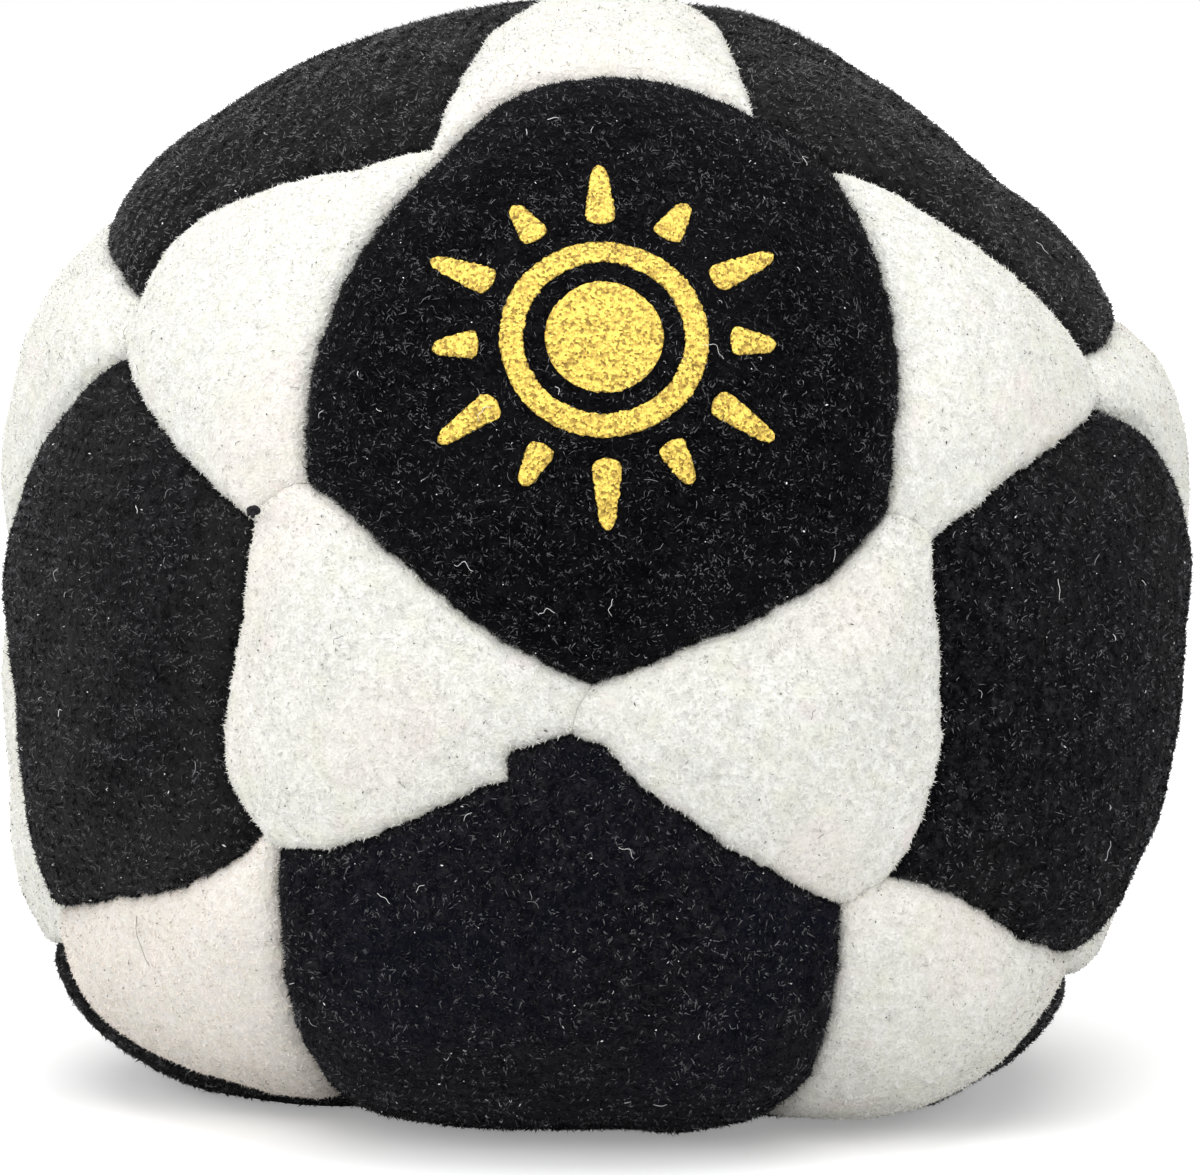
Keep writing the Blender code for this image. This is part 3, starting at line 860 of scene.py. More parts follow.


# Clouds: colour, size, where in the noise they begin and are full, and how much of their colour they give.
# The deep and raised shades are partly the leather's own tone and partly painted shade and light of nap that
# lies or stands.
dark_deep, dark_raised = rgb(0.0012, 0.0012, 0.0017), rgb(0.0120, 0.0120, 0.0135)
dark_clouds = (
    (rgb(0.026, 0.026, 0.028), 0.0004, 0.54, 0.70, 0.75),
    (rgb(0.002, 0.002, 0.003), 0.0012, 0.50, 0.64, 0.70),
)
pale_clouds = (
    (rgb(0.77, 0.78, 0.66), 0.0014, 0.50, 0.68, 0.50),
    (rgb(0.84, 0.71, 0.71), 0.0026, 0.60, 0.74, 0.40),
    (rgb(0.60, 0.59, 0.56), 0.0004, 0.58, 0.72, 0.45),
)
dark_suede = suede("dark suede", dark_deep, dark_raised, rgb(0.017, 0.016, 0.016), 0.4, dark_clouds)
navy_suede = suede("dark suede, bluish", dark_deep, dark_raised, rgb(0.006, 0.006, 0.015), 0.4, dark_clouds)
fresh_deep, fresh_raised = rgb(0.0008, 0.0008, 0.0011), rgb(0.0070, 0.0070, 0.0080)
fresh_tint = rgb(0.008, 0.008, 0.010)
fresh_suede = suede("dark suede, fresh", fresh_deep, fresh_raised, fresh_tint, 0.4, dark_clouds[1:], 0.02)
# The faded finish of the top and left pentagons is lighter: partly real fading, partly painted sheen of
# overhead light at a grazing angle.
faded_and_sheen_tint = rgb(0.020, 0.019, 0.019)
faded_and_sheen_suede = suede("dark suede, faded", dark_deep, dark_raised, faded_and_sheen_tint, 0.6, dark_clouds, 0.05)
pale_deep, pale_raised, pale_tint = rgb(0.70, 0.70, 0.66), rgb(0.89, 0.89, 0.85), rgb(0.84, 0.75, 0.69)
pale_suede = suede("pale suede", pale_deep, pale_raised, pale_tint, 0.45, pale_clouds, 0.0, 0.1)
panel_finishes = {
    "pentagon": dark_suede,
    "triangle": pale_suede,
    "front_pentagon": fresh_suede,
    "lower_front_pentagon": navy_suede,
    "top_left_pentagon": faded_and_sheen_suede,
    "top_right_pentagon": faded_and_sheen_suede,
    "left_pentagon": faded_and_sheen_suede,
}
print("suede finishes", len({finish.name for finish in panel_finishes.values()}))

# %% Panels
# How much soiling a panel has besides the clouds that all of them have.
soiled_panels = {
    "low_left_triangle": 0.8,
    "low_right_triangle": 0.3,
    "lower_front_pentagon": 0.5,
    # On the top and left pentagons the soiling mixes in the lighter faded tint, partly painted sheen.
    "top_right_pentagon": 0.5,
    "top_left_pentagon": 0.5,
    "left_pentagon": 0.3,
}


def own_or_usual(choices, name):
    """What the choices hold for this panel, or else for its kind."""
    return choices.get(name, choices[kind_of(name)])


def soiling(name, points):
    """How far each point is tinted: broad random clouds, more on the panels that have seen more dirt."""
    clouds = np.clip(waves(points, 0.011, 51) * 0.35 + 0.1, 0, 1)
    return np.clip(clouds + soiled_panels.get(name, 0.0), 0, 1)


panels = {}
for name, (points, faces, _, _) in grids.items():
    panel = mesh_object(name + "_suede", points, faces, [own_or_usual(panel_finishes, name)])
    attribute = panel.data.attributes.new("soil", "FLOAT", "POINT")
    attribute.data.foreach_set("value", soiling(name, points).astype(np.float32))
    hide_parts(name)
    panels[name] = panel
print("panels made", len(panels))

# %% [markdown]
# ## Nap
# The nap is a felt of fibres mostly a tenth to a quarter of a millimetre long, matted into clumps. Across a
# seam they mingle, which makes the soft, ragged line between dark and pale. Hair particles would not survive
# the export, so each small tuft is a slim closed spike of four triangles with its root in the leather.

# %% Finishes of the nap
def plain_finish(name, colour, sheen=0.0, shine=0.1, roughness=0.9):
    """One even colour: the fibres are too thin to show a pattern of their own."""
    values = {"Base Color": rgb(*colour), "Roughness": roughness, "Specular IOR Level": shine}
    return new_material(name, values | {"Sheen Weight": sheen, "Sheen Roughness": 0.4})[0]


# The raised and bright shades of the dark nap are partly painted glints: pale fibres standing in for tufts
# that catch the light.
dark_nap = [
    plain_finish("dark nap deep", (0.0026, 0.0026, 0.0032), 0.05, 0.02),
    plain_finish("dark nap", (0.0145, 0.0145, 0.0160), 0.14, 0.05),
    plain_finish("dark nap raised", (0.035, 0.035, 0.038), 0.24),
    plain_finish("dark nap, painted glint", (0.100, 0.100, 0.105), 0.25),
]
# The worn nap of the top pentagons is lighter: partly real wear, partly painted sheen of overhead light at a
# grazing angle.
worn_and_sheen_nap = [
    plain_finish("worn nap deep", (0.0045, 0.0044, 0.0048), 0.06, 0.03),
    plain_finish("worn nap", (0.0270, 0.0265, 0.0275), 0.16, 0.05),
    plain_finish("worn nap raised", (0.066, 0.065, 0.067), 0.24),
    plain_finish("worn nap, painted glint", (0.150, 0.148, 0.150), 0.25),
]
pale_nap = [
    plain_finish("pale nap", (0.87, 0.87, 0.84)),
    plain_finish("pale nap cream", (0.83, 0.82, 0.75)),
    plain_finish("pale nap grey", (0.62, 0.61, 0.58)),
]
blush_nap = [
    plain_finish("pale nap, blush", (0.93, 0.87, 0.81)),
    plain_finish("pale nap, cream blush", (0.87, 0.80, 0.71)),
    plain_finish("pale nap, grey blush", (0.65, 0.60, 0.56)),
]
nap_finishes = {
    "pentagon": dark_nap,
    "triangle": pale_nap,
    "low_left_triangle": blush_nap,
    "top_left_pentagon": worn_and_sheen_nap,
    "top_right_pentagon": worn_and_sheen_nap,
}
# How much of a panel's nap has each of its shades.
nap_shares = {
    "pentagon": (0.25, 0.61, 0.12, 0.02),
    "triangle": (0.62, 0.28, 0.10),
    "front_pentagon": (0.12, 0.62, 0.20, 0.06),
    "lower_front_pentagon": (0.05, 0.88, 0.065, 0.005),
    # The left and top pentagons have more raised and bright fibres: partly real wear, partly painted sheen.
    "left_pentagon": (0.27, 0.37, 0.26, 0.10),
    "top_left_pentagon": (0.22, 0.28, 0.34, 0.16),
    "top_right_pentagon": (0.22, 0.28, 0.34, 0.16),
    # The lower and right-hand triangles have more cream and grey fibres: painted shade for the lesser light
    # that reaches them.
    "front_lower_left_triangle": (0.20, 0.42, 0.38),
    "front_lower_right_triangle": (0.08, 0.42, 0.50),
    "low_right_triangle": (0.36, 0.40, 0.24),
    "front_upper_right_triangle": (0.56, 0.31, 0.13),
}
chance_share = 0.75
clump_shares = {"pentagon": (0.42, 0.20), "triangle": (0.22, 0.09)}
clump_length, broad_clump_length, clump_stretch = 0.00034, 0.0013, 0.45
print("nap finishes", len(dark_nap + worn_and_sheen_nap + pale_nap + blush_nap))

# %% Where fibres stand
nap_density, rim_density = 31e6, 16e6
rim_rings = 5
# Of these pairs, the first is for the face of a panel and the second for its rim.
fibre_lengths = {"pentagon": (0.00016, 0.00013), "triangle": (0.00013, 0.00011)}
root_radii = (0.000036, 0.000052)
fibre_buried = 0.00003
pressed_flat_height = 0.00012
tuft_length = 0.0007
lay_weight, tuft_weight, chance_weight = 0.35, 0.6, 0.8
usual_lift, lift_spread, least_lift, most_lift = 0.75, 0.35, 0.12, 1.8


def scattered(points, quads, density, random):
    """Random places spread evenly by area over quads, and the surface normal at each.

    A quad is chosen by its share of the area, and the place in it by two random shares.
    """
    corner = points[quads]
    cross = np.cross(corner[:, 2] - corner[:, 0], corner[:, 3] - corner[:, 1])
    area = np.linalg.norm(cross, axis=1) / 2
    total = np.cumsum(area)
    chosen = np.searchsorted(total, random.uniform(0, total[-1], int(total[-1] * density)))
    normals = np.zeros_like(points)
    for side in range(4):
        np.add.at(normals, quads[:, side], cross)
    a, b = random.uniform(0, 1, (2, len(chosen), 1))
    shares = ((1 - a) * (1 - b), a * (1 - b), a * b, (1 - a) * b)
    place = sum(share * points[quads[chosen, side]] for side, share in enumerate(shares))
    normal = sum(share * normals[quads[chosen, side]] for side, share in enumerate(shares))
    return place, unit(normal)


def side_axes(ways):
    """Two axes square to each direction and to each other."""
    helper = np.where(np.abs(ways[:, 2:]) < 0.8, up, np.array([1.0, 0.0, 0.0]))
    first = unit(np.cross(helper, ways))
    return first, np.cross(ways, first)


def three_round(places, ways, radii):
    """Three corners round each place, at its radius and square to its direction."""
    first, second = side_axes(ways)
    corners = []
    for turn in range(3):
        angle = math.tau * turn / 3
        corners.append(places + (first * math.cos(angle) + second * math.sin(angle)) * radii[:, None])
    return corners


def repeated(corners, pattern):
    """Many small shapes of the same corners: the points of all, and the pattern's faces for each."""
    points = np.stack(corners, axis=1).reshape(-1, 3)
    base = np.arange(0, len(points), len(corners))[:, None, None]
    return points, (base + np.array(pattern)).reshape(-1, 3)


def spikes(roots, ways, lengths, radii):
    """Closed spikes of four triangles: three corners round the root and one at the tip."""
    corners = [*three_round(roots, ways, radii), roots + ways * lengths[:, None]]
    return repeated(corners, [[0, 1, 3], [1, 2, 3], [2, 0, 3], [0, 2, 1]])


def leaning(places, normals, random, lay, seed):
    """The direction of each fibre: between upright and the lay, stirred by tufts and by chance."""
    tufts = np.stack([waves(places, tuft_length, seed + axis) for axis in range(3)], axis=1)
    stir = lay * lay_weight + tufts * tuft_weight + random.normal(size=places.shape) * chance_weight
    along = flattened(stir, normals)
    lift = random.normal(usual_lift, lift_spread, (len(places), 1))
    return unit(along + normals * np.clip(lift, least_lift, most_lift))


def over_the_rim(places, normals, random):
    """The direction of each fibre at the rim: up and over the seam, stirred by chance."""
    outward = unit(places - bag_middle)
    outward = outward * random.normal(0.75, 0.3, (len(places), 1))
    return unit(outward + normals + random.normal(0, 0.45, places.shape))


def nap_of(name):
    """The nap of one panel, off the print and the floor, denser along its rim, a shade for each fibre."""
    kind = kind_of(name)
    points, faces, rings, count = grids[name]
    seed = sum(map(ord, name))
    random = np.random.default_rng(seed)
    quads = faces[0][: (rings - 1) * count]
    places, normals = scattered(points, quads, nap_density, random)
    lay = unit(random.normal(size=3))
    ways = leaning(places, normals, random, lay, seed)
    rim_places, rim_normals = scattered(points, quads[-rim_rings * count :], rim_density, random)
    at_rim = np.repeat([0, 1], [len(places), len(rim_places)])
    ways = np.concatenate([ways, over_the_rim(rim_places, rim_normals, random)])
    places = np.concatenate([places, rim_places])
    lengths = np.array(fibre_lengths[kind])[at_rim] * np.clip(random.lognormal(0, 0.4, len(places)), 0.4, 2.4)
    radii = np.array(root_radii)[at_rim] * random.uniform(0.7, 1.3, len(places))
    chosen = (places[:, 2] > pressed_flat_height) & off_print(places)
    places, ways, lengths, radii = (part[chosen] for part in (places, ways, lengths, radii))
    points, spike_faces = spikes(places - ways * fibre_buried, ways, lengths + fibre_buried, radii)
    points[:, 2] = np.maximum(points[:, 2], 0.0)
    # The shades gather in clumps that are stretched along the lay, as on a nap that a hand has stroked; the
    # clumps are partly the fibres' own tone and partly painted shade and light of nap that lies or stands.
    drawn = places - np.outer(places @ lay, lay) * (1 - clump_stretch)
    small, broad = clump_shares[kind]
    clumps = small * waves(drawn, clump_length, seed + 7) + broad * waves(drawn, broad_clump_length, seed + 8)
    shades = 0.5 + chance_share * random.uniform(-0.5, 0.5, len(places)) + clumps
    index = np.searchsorted(np.cumsum(own_or_usual(nap_shares, name))[:-1], shades)
    finishes = own_or_usual(nap_finishes, name)
    made = mesh_object(name + "_nap", points, [spike_faces], finishes, np.repeat(index, 4), False)
    return made


print("fibres on a square millimetre", nap_density * millimetre**2)

# %% [markdown]
# ## The print on the front panel
# Glitter ink is pressed through a screen onto the front panel: a disc in a ring with twelve rays. It mats the
# nap down and stands a little proud, with a grainy face and a ragged edge. The ink is geometry, strokes laid
# over the panel's own curve, and the same shapes tell the nap where not to grow.

# %% Strokes of the print
front_middle = unit(np.concatenate(panel_runs["front_pentagon"]).mean(axis=0))
front_right = unit(np.cross(up, front_middle))
front_up = np.cross(front_middle, front_right)
front_radius = body_radius(front_middle[None])[0]
print_place = np.array([-0.0004, -0.0002])
disc_radius = 0.0026
ring_radius, ring_width = 0.0041, 0.0011
ray_count = 12
ray_start, long_ray, short_ray = 0.0056, 0.0034, 0.0022
ray_width, ray_taper = 0.0015, 0.55
ink_proud, ink_sunk = 0.00007, 0.00012
ink_grain, ink_ragged = 0.000022, 0.00005
ink_step = 0.00011


def on_front(flat, lift):
    """Places on the plane of the print laid on the front panel, lifted off it."""
    flat = flat + print_place
    ways = unit(front_middle * front_radius + flat[:, :1] * front_right + flat[:, 1:] * front_up)
    return outer_surface(ways, "front_pentagon") + ways * lift[:, None]


def stroke(path, widths, closed, random):
    """An ink stroke: a low rounded profile of varying width carried along a path in the print's plane."""
    ahead = np.roll(path, -1, axis=0) - np.roll(path, 1, axis=0) if closed else np.gradient(path, axis=0)
    ahead = unit(ahead)
    aside = np.stack([-ahead[:, 1], ahead[:, 0]], axis=1)
    across = max(6, round(widths.max() / ink_step))
    shares = np.sin(np.linspace(-math.pi / 2, math.pi / 2, across))
    ragged = 1 + ink_ragged * random.normal(size=(len(path), 2)) / np.maximum(widths, ink_step)[:, None]
    side = np.where(shares[None] < 0, ragged[:, :1], ragged[:, 1:]) * widths[:, None] / 2 * shares
    flat = (path[:, None] + aside[:, None] * side[..., None]).reshape(-1, 2)
    bulge = np.sqrt(np.clip(1 - np.abs(shares) ** 4, 0, 1))
    grain = ink_grain * random.normal(size=(len(path), across))
    top = on_front(flat, ((ink_proud + grain) * bulge).ravel()).reshape(len(path), across, 3)
    under = on_front(flat, np.full(len(flat), -ink_sunk)).reshape(len(path), across, 3)[:, -2:0:-1]
    loop = np.concatenate([top, under], axis=1)
    points, count = loop.reshape(-1, 3), loop.shape[1]
    # A closed stroke has one more row of quads, which leads back to its first points.
    rings = len(path) + 1 if closed else len(path)
    faces = [ring_quads(rings, count)[:, ::-1] % len(points)]
    if not closed:
        ends = np.stack([points[:count].mean(axis=0), points[-count:].mean(axis=0)])
        faces.append(fan(len(points), np.arange(count), False)[:, ::-1])
        faces.append(fan(len(points) + 1, np.arange(count) + len(points) - count, True)[:, ::-1])
        points = np.concatenate([points, ends])
    return points, faces


def gathered(parts):
    """Several sets of points and faces as one, with the faces' numbers moved on."""
    points, faces, base = [], {}, 0
    for some_points, some_faces in parts:
        for part in some_faces:
            faces.setdefault(part.shape[1], []).append(part + base)
        points.append(some_points)
        base += len(some_points)
    return np.concatenate(points), [np.concatenate(part) for part in faces.values()]


def print_strokes():
    """The disc, the ring and the rays as strokes."""
    random = np.random.default_rng(5)
    places = np.linspace(-1, 1, round(2 * disc_radius / ink_step))
    disc = np.stack([places * disc_radius, places * 0], axis=1)
    parts = [stroke(disc, 2 * disc_radius * np.sqrt(np.clip(1 - places**2, 0.01, 1)), False, random)]
    turn = np.linspace(0, math.tau, round(math.tau * ring_radius / ink_step), endpoint=False)
    ring = ring_radius * np.stack([np.cos(turn), np.sin(turn)], axis=1)
    parts.append(stroke(ring, np.full(len(ring), ring_width), True, random))
    for ray in range(ray_count):
        angle = math.tau * ray / ray_count + math.pi / 2
        length = long_ray if ray % 2 == 0 else short_ray
        places = np.linspace(0, 1, round(length / ink_step))
        line = (ray_start + length * places)[:, None] * np.array([math.cos(angle), math.sin(angle)])
        rounded = np.sqrt(np.clip(1 - (2 * places - 1) ** 8, 0.02, 1))
        parts.append(stroke(line, ray_width * (1 - ray_taper * places) * rounded, False, random))
    return gathered(parts)


def off_print(places):
    """True where a place on the bag is clear of the print."""
    ways = unit(places - bag_middle)
    ahead = ways @ front_middle
    flat = np.stack([ways @ front_right, ways @ front_up], axis=1) / ahead[:, None]
    flat = flat * front_radius - print_place
    radius = np.hypot(flat[:, 0], flat[:, 1])
    angle = np.arctan2(flat[:, 1], flat[:, 0]) - math.pi / 2
    ray = np.round(angle / math.tau * ray_count)
    aside = radius * np.sin(angle - ray * math.tau / ray_count)
    along = (radius - ray_start) / np.where(ray % 2 == 0, long_ray, short_ray)
    in_ray = (along > 0) & (along < 1) & (np.abs(aside) < ray_width / 2 * (1 - ray_taper * along))
    in_ring = np.abs(radius - ring_radius) < ring_width / 2
    return (ahead < 0.5) | ~(in_ray | in_ring | (radius < disc_radius))


print("the print is", round(2 * (ray_start + long_ray) / millimetre, 1), "mm across")


# %% Glitter ink
def glitter():
    """Flakes as Voronoi cells: each has its own shade of gold and roughness, and its edges catch light."""
    made, shader, start = new_material("gold glitter ink", {"Metallic": 0.55})
    place = start.make("TexCoord", {}, {}, "Object")
    flake, chance = place.cells(0.00012)
    patches = place.noise(0.0005, 2.0)
    shade = (chance * 0.85 + patches * 0.35).ramped(0.20, 0.95)
    shade.mixed(rgb(0.17, 0.10, 0.008), rgb(0.84, 0.60, 0.11)).feed(shader, "Base Color")
    (chance * 0.25 + 0.30).feed(shader, "Roughness")
    (flake + patches * 0.5).bumps(shader, 0.8, 0.00006)
    return made


ink_points, ink_faces = print_strokes()
glitter_print = mesh_object("glitter_print", ink_points, ink_faces, [glitter()])
print("triangles in the print", sum(len(part) * (part.shape[1] - 2) for part in ink_faces))

# %% The nap grows everywhere but on the print
naps = {name: nap_of(name) for name in panel_runs}
print("tufts", sum(len(nap.data.polygons) for nap in naps.values()) // 4)

# %% [markdown]
# ## Lint, grit and loose hairs
# A used bag picks up pale lint on its dark panels, dark grit on its pale ones, and a few long hairs. They are
# too many to place one by one, so each kind is a random scatter of short curled strands or of straight grains
# of six triangles, and only the hairs that catch the eye are set at their own places.

# %% Strands and grains
strand_sides, strand_steps = 3, 5
bend_size, quick_bend_size = 0.16, 0.05
# Lint gathers: about this share stays, and more where a wave of this length is high, less where it is low.
stay_share, stay_wave_share, gathering_length = 0.6, 0.3, 0.006


def strands(paths, normals, radii):
    """Closed tubes along many paths of equal count: a three-sided profile square to each path."""
    count, steps = paths.shape[:2]
    ahead = unit(np.gradient(paths, axis=1))
    first = unit(np.cross(normals[:, None], ahead) + 1e-9)
    second = np.cross(ahead, first)
    turn = math.tau * np.arange(strand_sides) / strand_sides
    spokes = first[:, :, None] * np.cos(turn)[:, None] + second[:, :, None] * np.sin(turn)[:, None]
    points = (paths[:, :, None] + spokes * radii[..., None, None]).reshape(-1, 3)
    base = np.arange(count)[:, None, None] * (steps * strand_sides)
    sides = ring_quads(steps, strand_sides)[:, ::-1]
    caps = np.array([[2, 1, 0], [0, 1, 2]]) + np.array([[0], [(steps - 1) * strand_sides]])
    return points, [(base + sides).reshape(-1, 4), (base + caps).reshape(-1, 3)]


def curled(places, normals, lengths, lift, random):
    """Paths that lie on the surface, bend sideways as part of a sine, and arch up a little in the middle."""
    along = flattened(random.normal(size=places.shape), normals)
    aside = np.cross(normals, along)
    share = np.linspace(0, 1, strand_steps)
    bend = random.normal(0, bend_size, (len(places), 1)) * np.sin(math.pi * share)
    bend = bend + random.normal(0, quick_bend_size, (len(places), 1)) * np.sin(math.tau * share)
    arch = lift * (0.4 + np.sin(math.pi * share) * random.uniform(0, 1, (len(places), 1)))
    size = lengths[:, None, None]
    paths = places[:, None] + along[:, None] * ((share - 0.5)[:, None] * size)
    return paths + aside[:, None] * (bend[..., None] * size) + normals[:, None] * arch[..., None]


def grains(places, normals, lengths, lift, radii, random):
    """Closed grains of six triangles: a tip at each end and three corners round the middle."""
    along = flattened(random.normal(size=places.shape), normals)
    along = unit(along + normals * random.normal(0, 0.5, (len(places), 1)))
    middle = places + normals * lift
    half = along * lengths[:, None] / 2
    corners = [*three_round(middle, along, radii), middle + half, middle - half]
    points, faces = repeated(corners, [[0, 1, 3], [1, 2, 3], [2, 0, 3], [1, 0, 4], [2, 1, 4], [0, 2, 4]])
    return points, [faces]


def spread(kind, density, random, only):
    """Places over the outer faces of one kind of panel or of a single one, off the print and the floor."""
    found = []
    for name, (points, faces, rings, count) in grids.items():
        if name.endswith(kind) and only in (None, name):
            found.append(scattered(points, faces[0][: (rings - 1) * count], density, random))
    places, normals = (np.concatenate(part) for part in zip(*found))
    clear = (places[:, 2] > millimetre / 2) & off_print(places)
    return places[clear], normals[clear]


def scatter(name, kind, density, length, radius, lift, finish, seed, straight=False, only=None):
    """Curled strands, or straight grains, of random length and thickness over all panels of one kind."""
    random = np.random.default_rng(seed)
    places, normals = spread(kind, density, random, only)
    stay_shares = stay_share + stay_wave_share * waves(places, gathering_length, seed)
    stays = random.uniform(0, 1, len(places)) < stay_shares
    places, normals = places[stays], normals[stays]
    lengths = length * np.clip(random.lognormal(0, 0.5, len(places)), 0.35, 3.0)
    radii = radius * random.uniform(0.6, 1.4, len(places))
    if straight:
        shape = grains(places, normals, lengths, lift, radii, random)
    else:
        paths = curled(places, normals, lengths, lift, random)
        shape = strands(paths, normals, radii[:, None] * np.ones((1, paths.shape[1])))
    made = mesh_object(name, *shape, [finish], None, not straight)
    print(name, len(places))


# %% Kinds of lint and grit
# Name, kind of panel, how many on a square metre, length, radius, height over the leather, finish and seed.
grey_lint = plain_finish("grey lint", (0.10, 0.10, 0.108))
dull_lint = plain_finish("dull lint", (0.27, 0.27, 0.28))
bright_lint = plain_finish("bright lint", (0.78, 0.78, 0.78))
grit_finish = plain_finish("grit", (0.05, 0.045, 0.045))
pale_grit = plain_finish("pale grit", (0.30, 0.29, 0.27))
scatter("grey_fibres", "pentagon", 0.7e6, 0.00019, 0.000024, 0.00010, grey_lint, 25, True)
scatter("pale_specks", "pentagon", 0.55e6, 0.00008, 0.000028, 0.00012, dull_lint, 26, True)
scatter("white_specks", "pentagon", 0.16e6, 0.00008, 0.000034, 0.00013, bright_lint, 27, True)
scatter("dull_lint", "pentagon", 0.16e6, 0.00024, 0.000014, 0.00010, dull_lint, 21)
scatter("front_lint", "pentagon", 1.5e6, 0.00017, 0.000009, 0.00012, dull_lint, 29, only="front_pentagon")
scatter("bright_lint", "pentagon", 0.04e6, 0.00026, 0.000016, 0.00013, bright_lint, 22)
scatter("grit", "triangle", 0.45e6, 0.00009, 0.000030, 0.00006, grit_finish, 23, True)
scatter("pale_grit", "triangle", 1.4e6, 0.00010, 0.000028, 0.00006, pale_grit, 28, True)
scatter("dark_fibres", "triangle", 0.08e6, 0.00022, 0.000011, 0.00010, grit_finish, 24)

# %% Where a pixel of the photograph meets the bag
trees = [BVHTree.FromObject(panel, bpy.context.evaluated_depsgraph_get()) for panel in panels.values()]


def on_bag(x, y):
    """The first point of a panel on the line of sight through a pixel, and the surface normal there."""
    way = np.array([(x - aim_x) / focal_pixels, 0, 0]) - camera_back - camera_up * (y - aim_y) / focal_pixels
    start = Vector(bag_middle + camera_back * camera_distance)
    hits = [hit for hit in (tree.ray_cast(start, Vector(way)) for tree in trees) if hit[0] is not None]
    nearest = min(hits, key=lambda hit: hit[3])
    return np.array(nearest[0]), np.array(nearest[1])


print("the middle of the frame meets the bag at", np.round(on_bag(frame_width / 2, frame_height / 2)[0], 4))


# %% Loose hairs
# Pixel, length in millimetres, direction in degrees from the right, curl, and whether it is pale.
hair_table = (
    (1056, 590, 0.95, 88, 0.06, True),
    (712, 353, 1.10, -40, 0.22, True),
    (146, 940, 2.40, 95, 0.08, False),
    (663, 757, 0.80, 75, 0.20, True),
    (806, 165, 1.00, 60, 0.25, True),
    (485, 415, 0.80, 50, 0.24, True),
    (625, 853, 0.85, -35, 0.20, True),
    (422, 888, 0.55, 45, 0.15, True),
    (385, 898, 0.75, -30, 0.12, True),
    (547, 613, 0.70, 20, 0.30, True),
    (465, 568, 0.90, -10, 0.30, True),
    (612, 607, 0.75, 80, 0.18, True),
    (1040, 250, 0.80, 130, 0.2, True),
    (60, 575, 0.60, 70, 0.2, True),
    (1105, 850, 0.90, 60, 0.25, True),
    (340, 640, 0.60, 30, 0.2, False),
    (812, 715, 0.45, 70, 0.2, False),
)
hair_radius, hair_lift, hair_arch = 0.000013, 0.00016, 0.00012
hair_steps = 14
quick_curl_share, quick_curl_turns = 0.35, 1.6


def hairs(pale):
    """One strand for each listed hair of a shade: a line with a slow bend and a small quick one."""
    paths, normals = [], []
    share = np.linspace(0, 1, hair_steps)
    right = unit(np.cross(camera_up, camera_back))
    for x, y, length, angle, curl, is_pale in hair_table:
        if is_pale != pale:
            continue
        place, normal = on_bag(x, y)
        turn = math.radians(angle)
        along = flattened(math.cos(turn) * right + math.sin(turn) * camera_up, normal)
        aside = np.cross(normal, along)
        size = length * millimetre
        quick = quick_curl_share * np.sin(math.tau * quick_curl_turns * share + angle)
        bend = curl * (np.sin(math.pi * share) + quick)
        path = place + np.outer((share - 0.5) * size, along) + np.outer(bend * size, aside)
        paths.append(path + np.outer(hair_lift + hair_arch * np.sin(math.pi * share), normal))
        normals.append(normal)
    paths, normals = np.array(paths), np.array(normals)
    return strands(paths, normals, np.full(paths.shape[:2], hair_radius))


for name, pale, finish in (("pale_hairs", True, bright_lint), ("dark_hairs", False, grit_finish)):
    made = mesh_object(name, *hairs(pale), [finish])
print("hairs", len(hair_table))

# %% [markdown]
# ## The closing knot
# The sewer turns the bag right side out, fills it, and closes the last seam from outside. The thread ends in
# a small hard knot in the dimple of a corner. A bead could stand in for it, but a tube along a trefoil is
# what a pulled overhand knot looks like, with its two cut ends.

# %% Knot
knot_low, knot_high = (np.array(corner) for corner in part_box("closing_knot"))
knot_middle = (knot_low + knot_high) / 2
knot_size = 0.00023
knot_thread = 0.00010
knot_shift = 0.00035
knot_tail = 0.00022
knot_steps, knot_sides, tail_steps = 90, 8, 8
# Where the trefoil is cut open for its two ends, as an angle.
knot_gap = 0.12


def tube(path, radius, sides):
    """A closed tube along one path, with a cap at each end: a circle carried square to the path."""
    ahead = unit(np.gradient(path, axis=0))
    first, second = side_axes(ahead)
    turn = math.tau * np.arange(sides) / sides
    spokes = first[:, None] * np.cos(turn)[:, None] + second[:, None] * np.sin(turn)[:, None]
    points = (path[:, None] + spokes * radius).reshape(-1, 3)
    ring = np.arange(sides)
    faces = [ring_quads(len(path), sides)[:, ::-1], fan(len(points), ring, False)]
    faces.append(fan(len(points) + 1, ring + len(points) - sides, True))
    return np.concatenate([points, path[:1], path[-1:]]), faces


def knot_path():
    """A trefoil in the plane of the dimple, whose two ends lead off as cut thread."""
    outward = unit(knot_middle - bag_middle)
    sideways = unit(np.cross(up, outward))
    upward = np.cross(outward, sideways)
    turn = np.linspace(knot_gap, math.tau - knot_gap, knot_steps)
    across = (np.sin(turn) + 2 * np.sin(2 * turn)) / 3
    along = (np.cos(turn) - 2 * np.cos(2 * turn)) / 3
    out = -np.sin(3 * turn) / 2
    path = knot_middle + sideways * knot_shift + knot_size * (
        np.outer(across, sideways) + np.outer(along, upward) + np.outer(out, outward)
    )
    tail = np.linspace(0, 1, tail_steps)[1:, None] * knot_tail
    first = path[:1] + tail[::-1] * (sideways * 0.3 + upward * 0.8 + outward * 0.25)
    last = path[-1:] + tail * (-sideways * 0.75 - upward * 0.45 + outward * 0.35)
    return np.concatenate([first, path, last])


knot_finish = plain_finish("waxed thread", (0.018, 0.016, 0.018), roughness=0.55)
knot = mesh_object("closing_knot_thread", *tube(knot_path(), knot_thread, knot_sides), [knot_finish])
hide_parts("closing_knot")
print("faces in the knot", len(knot.data.polygons))

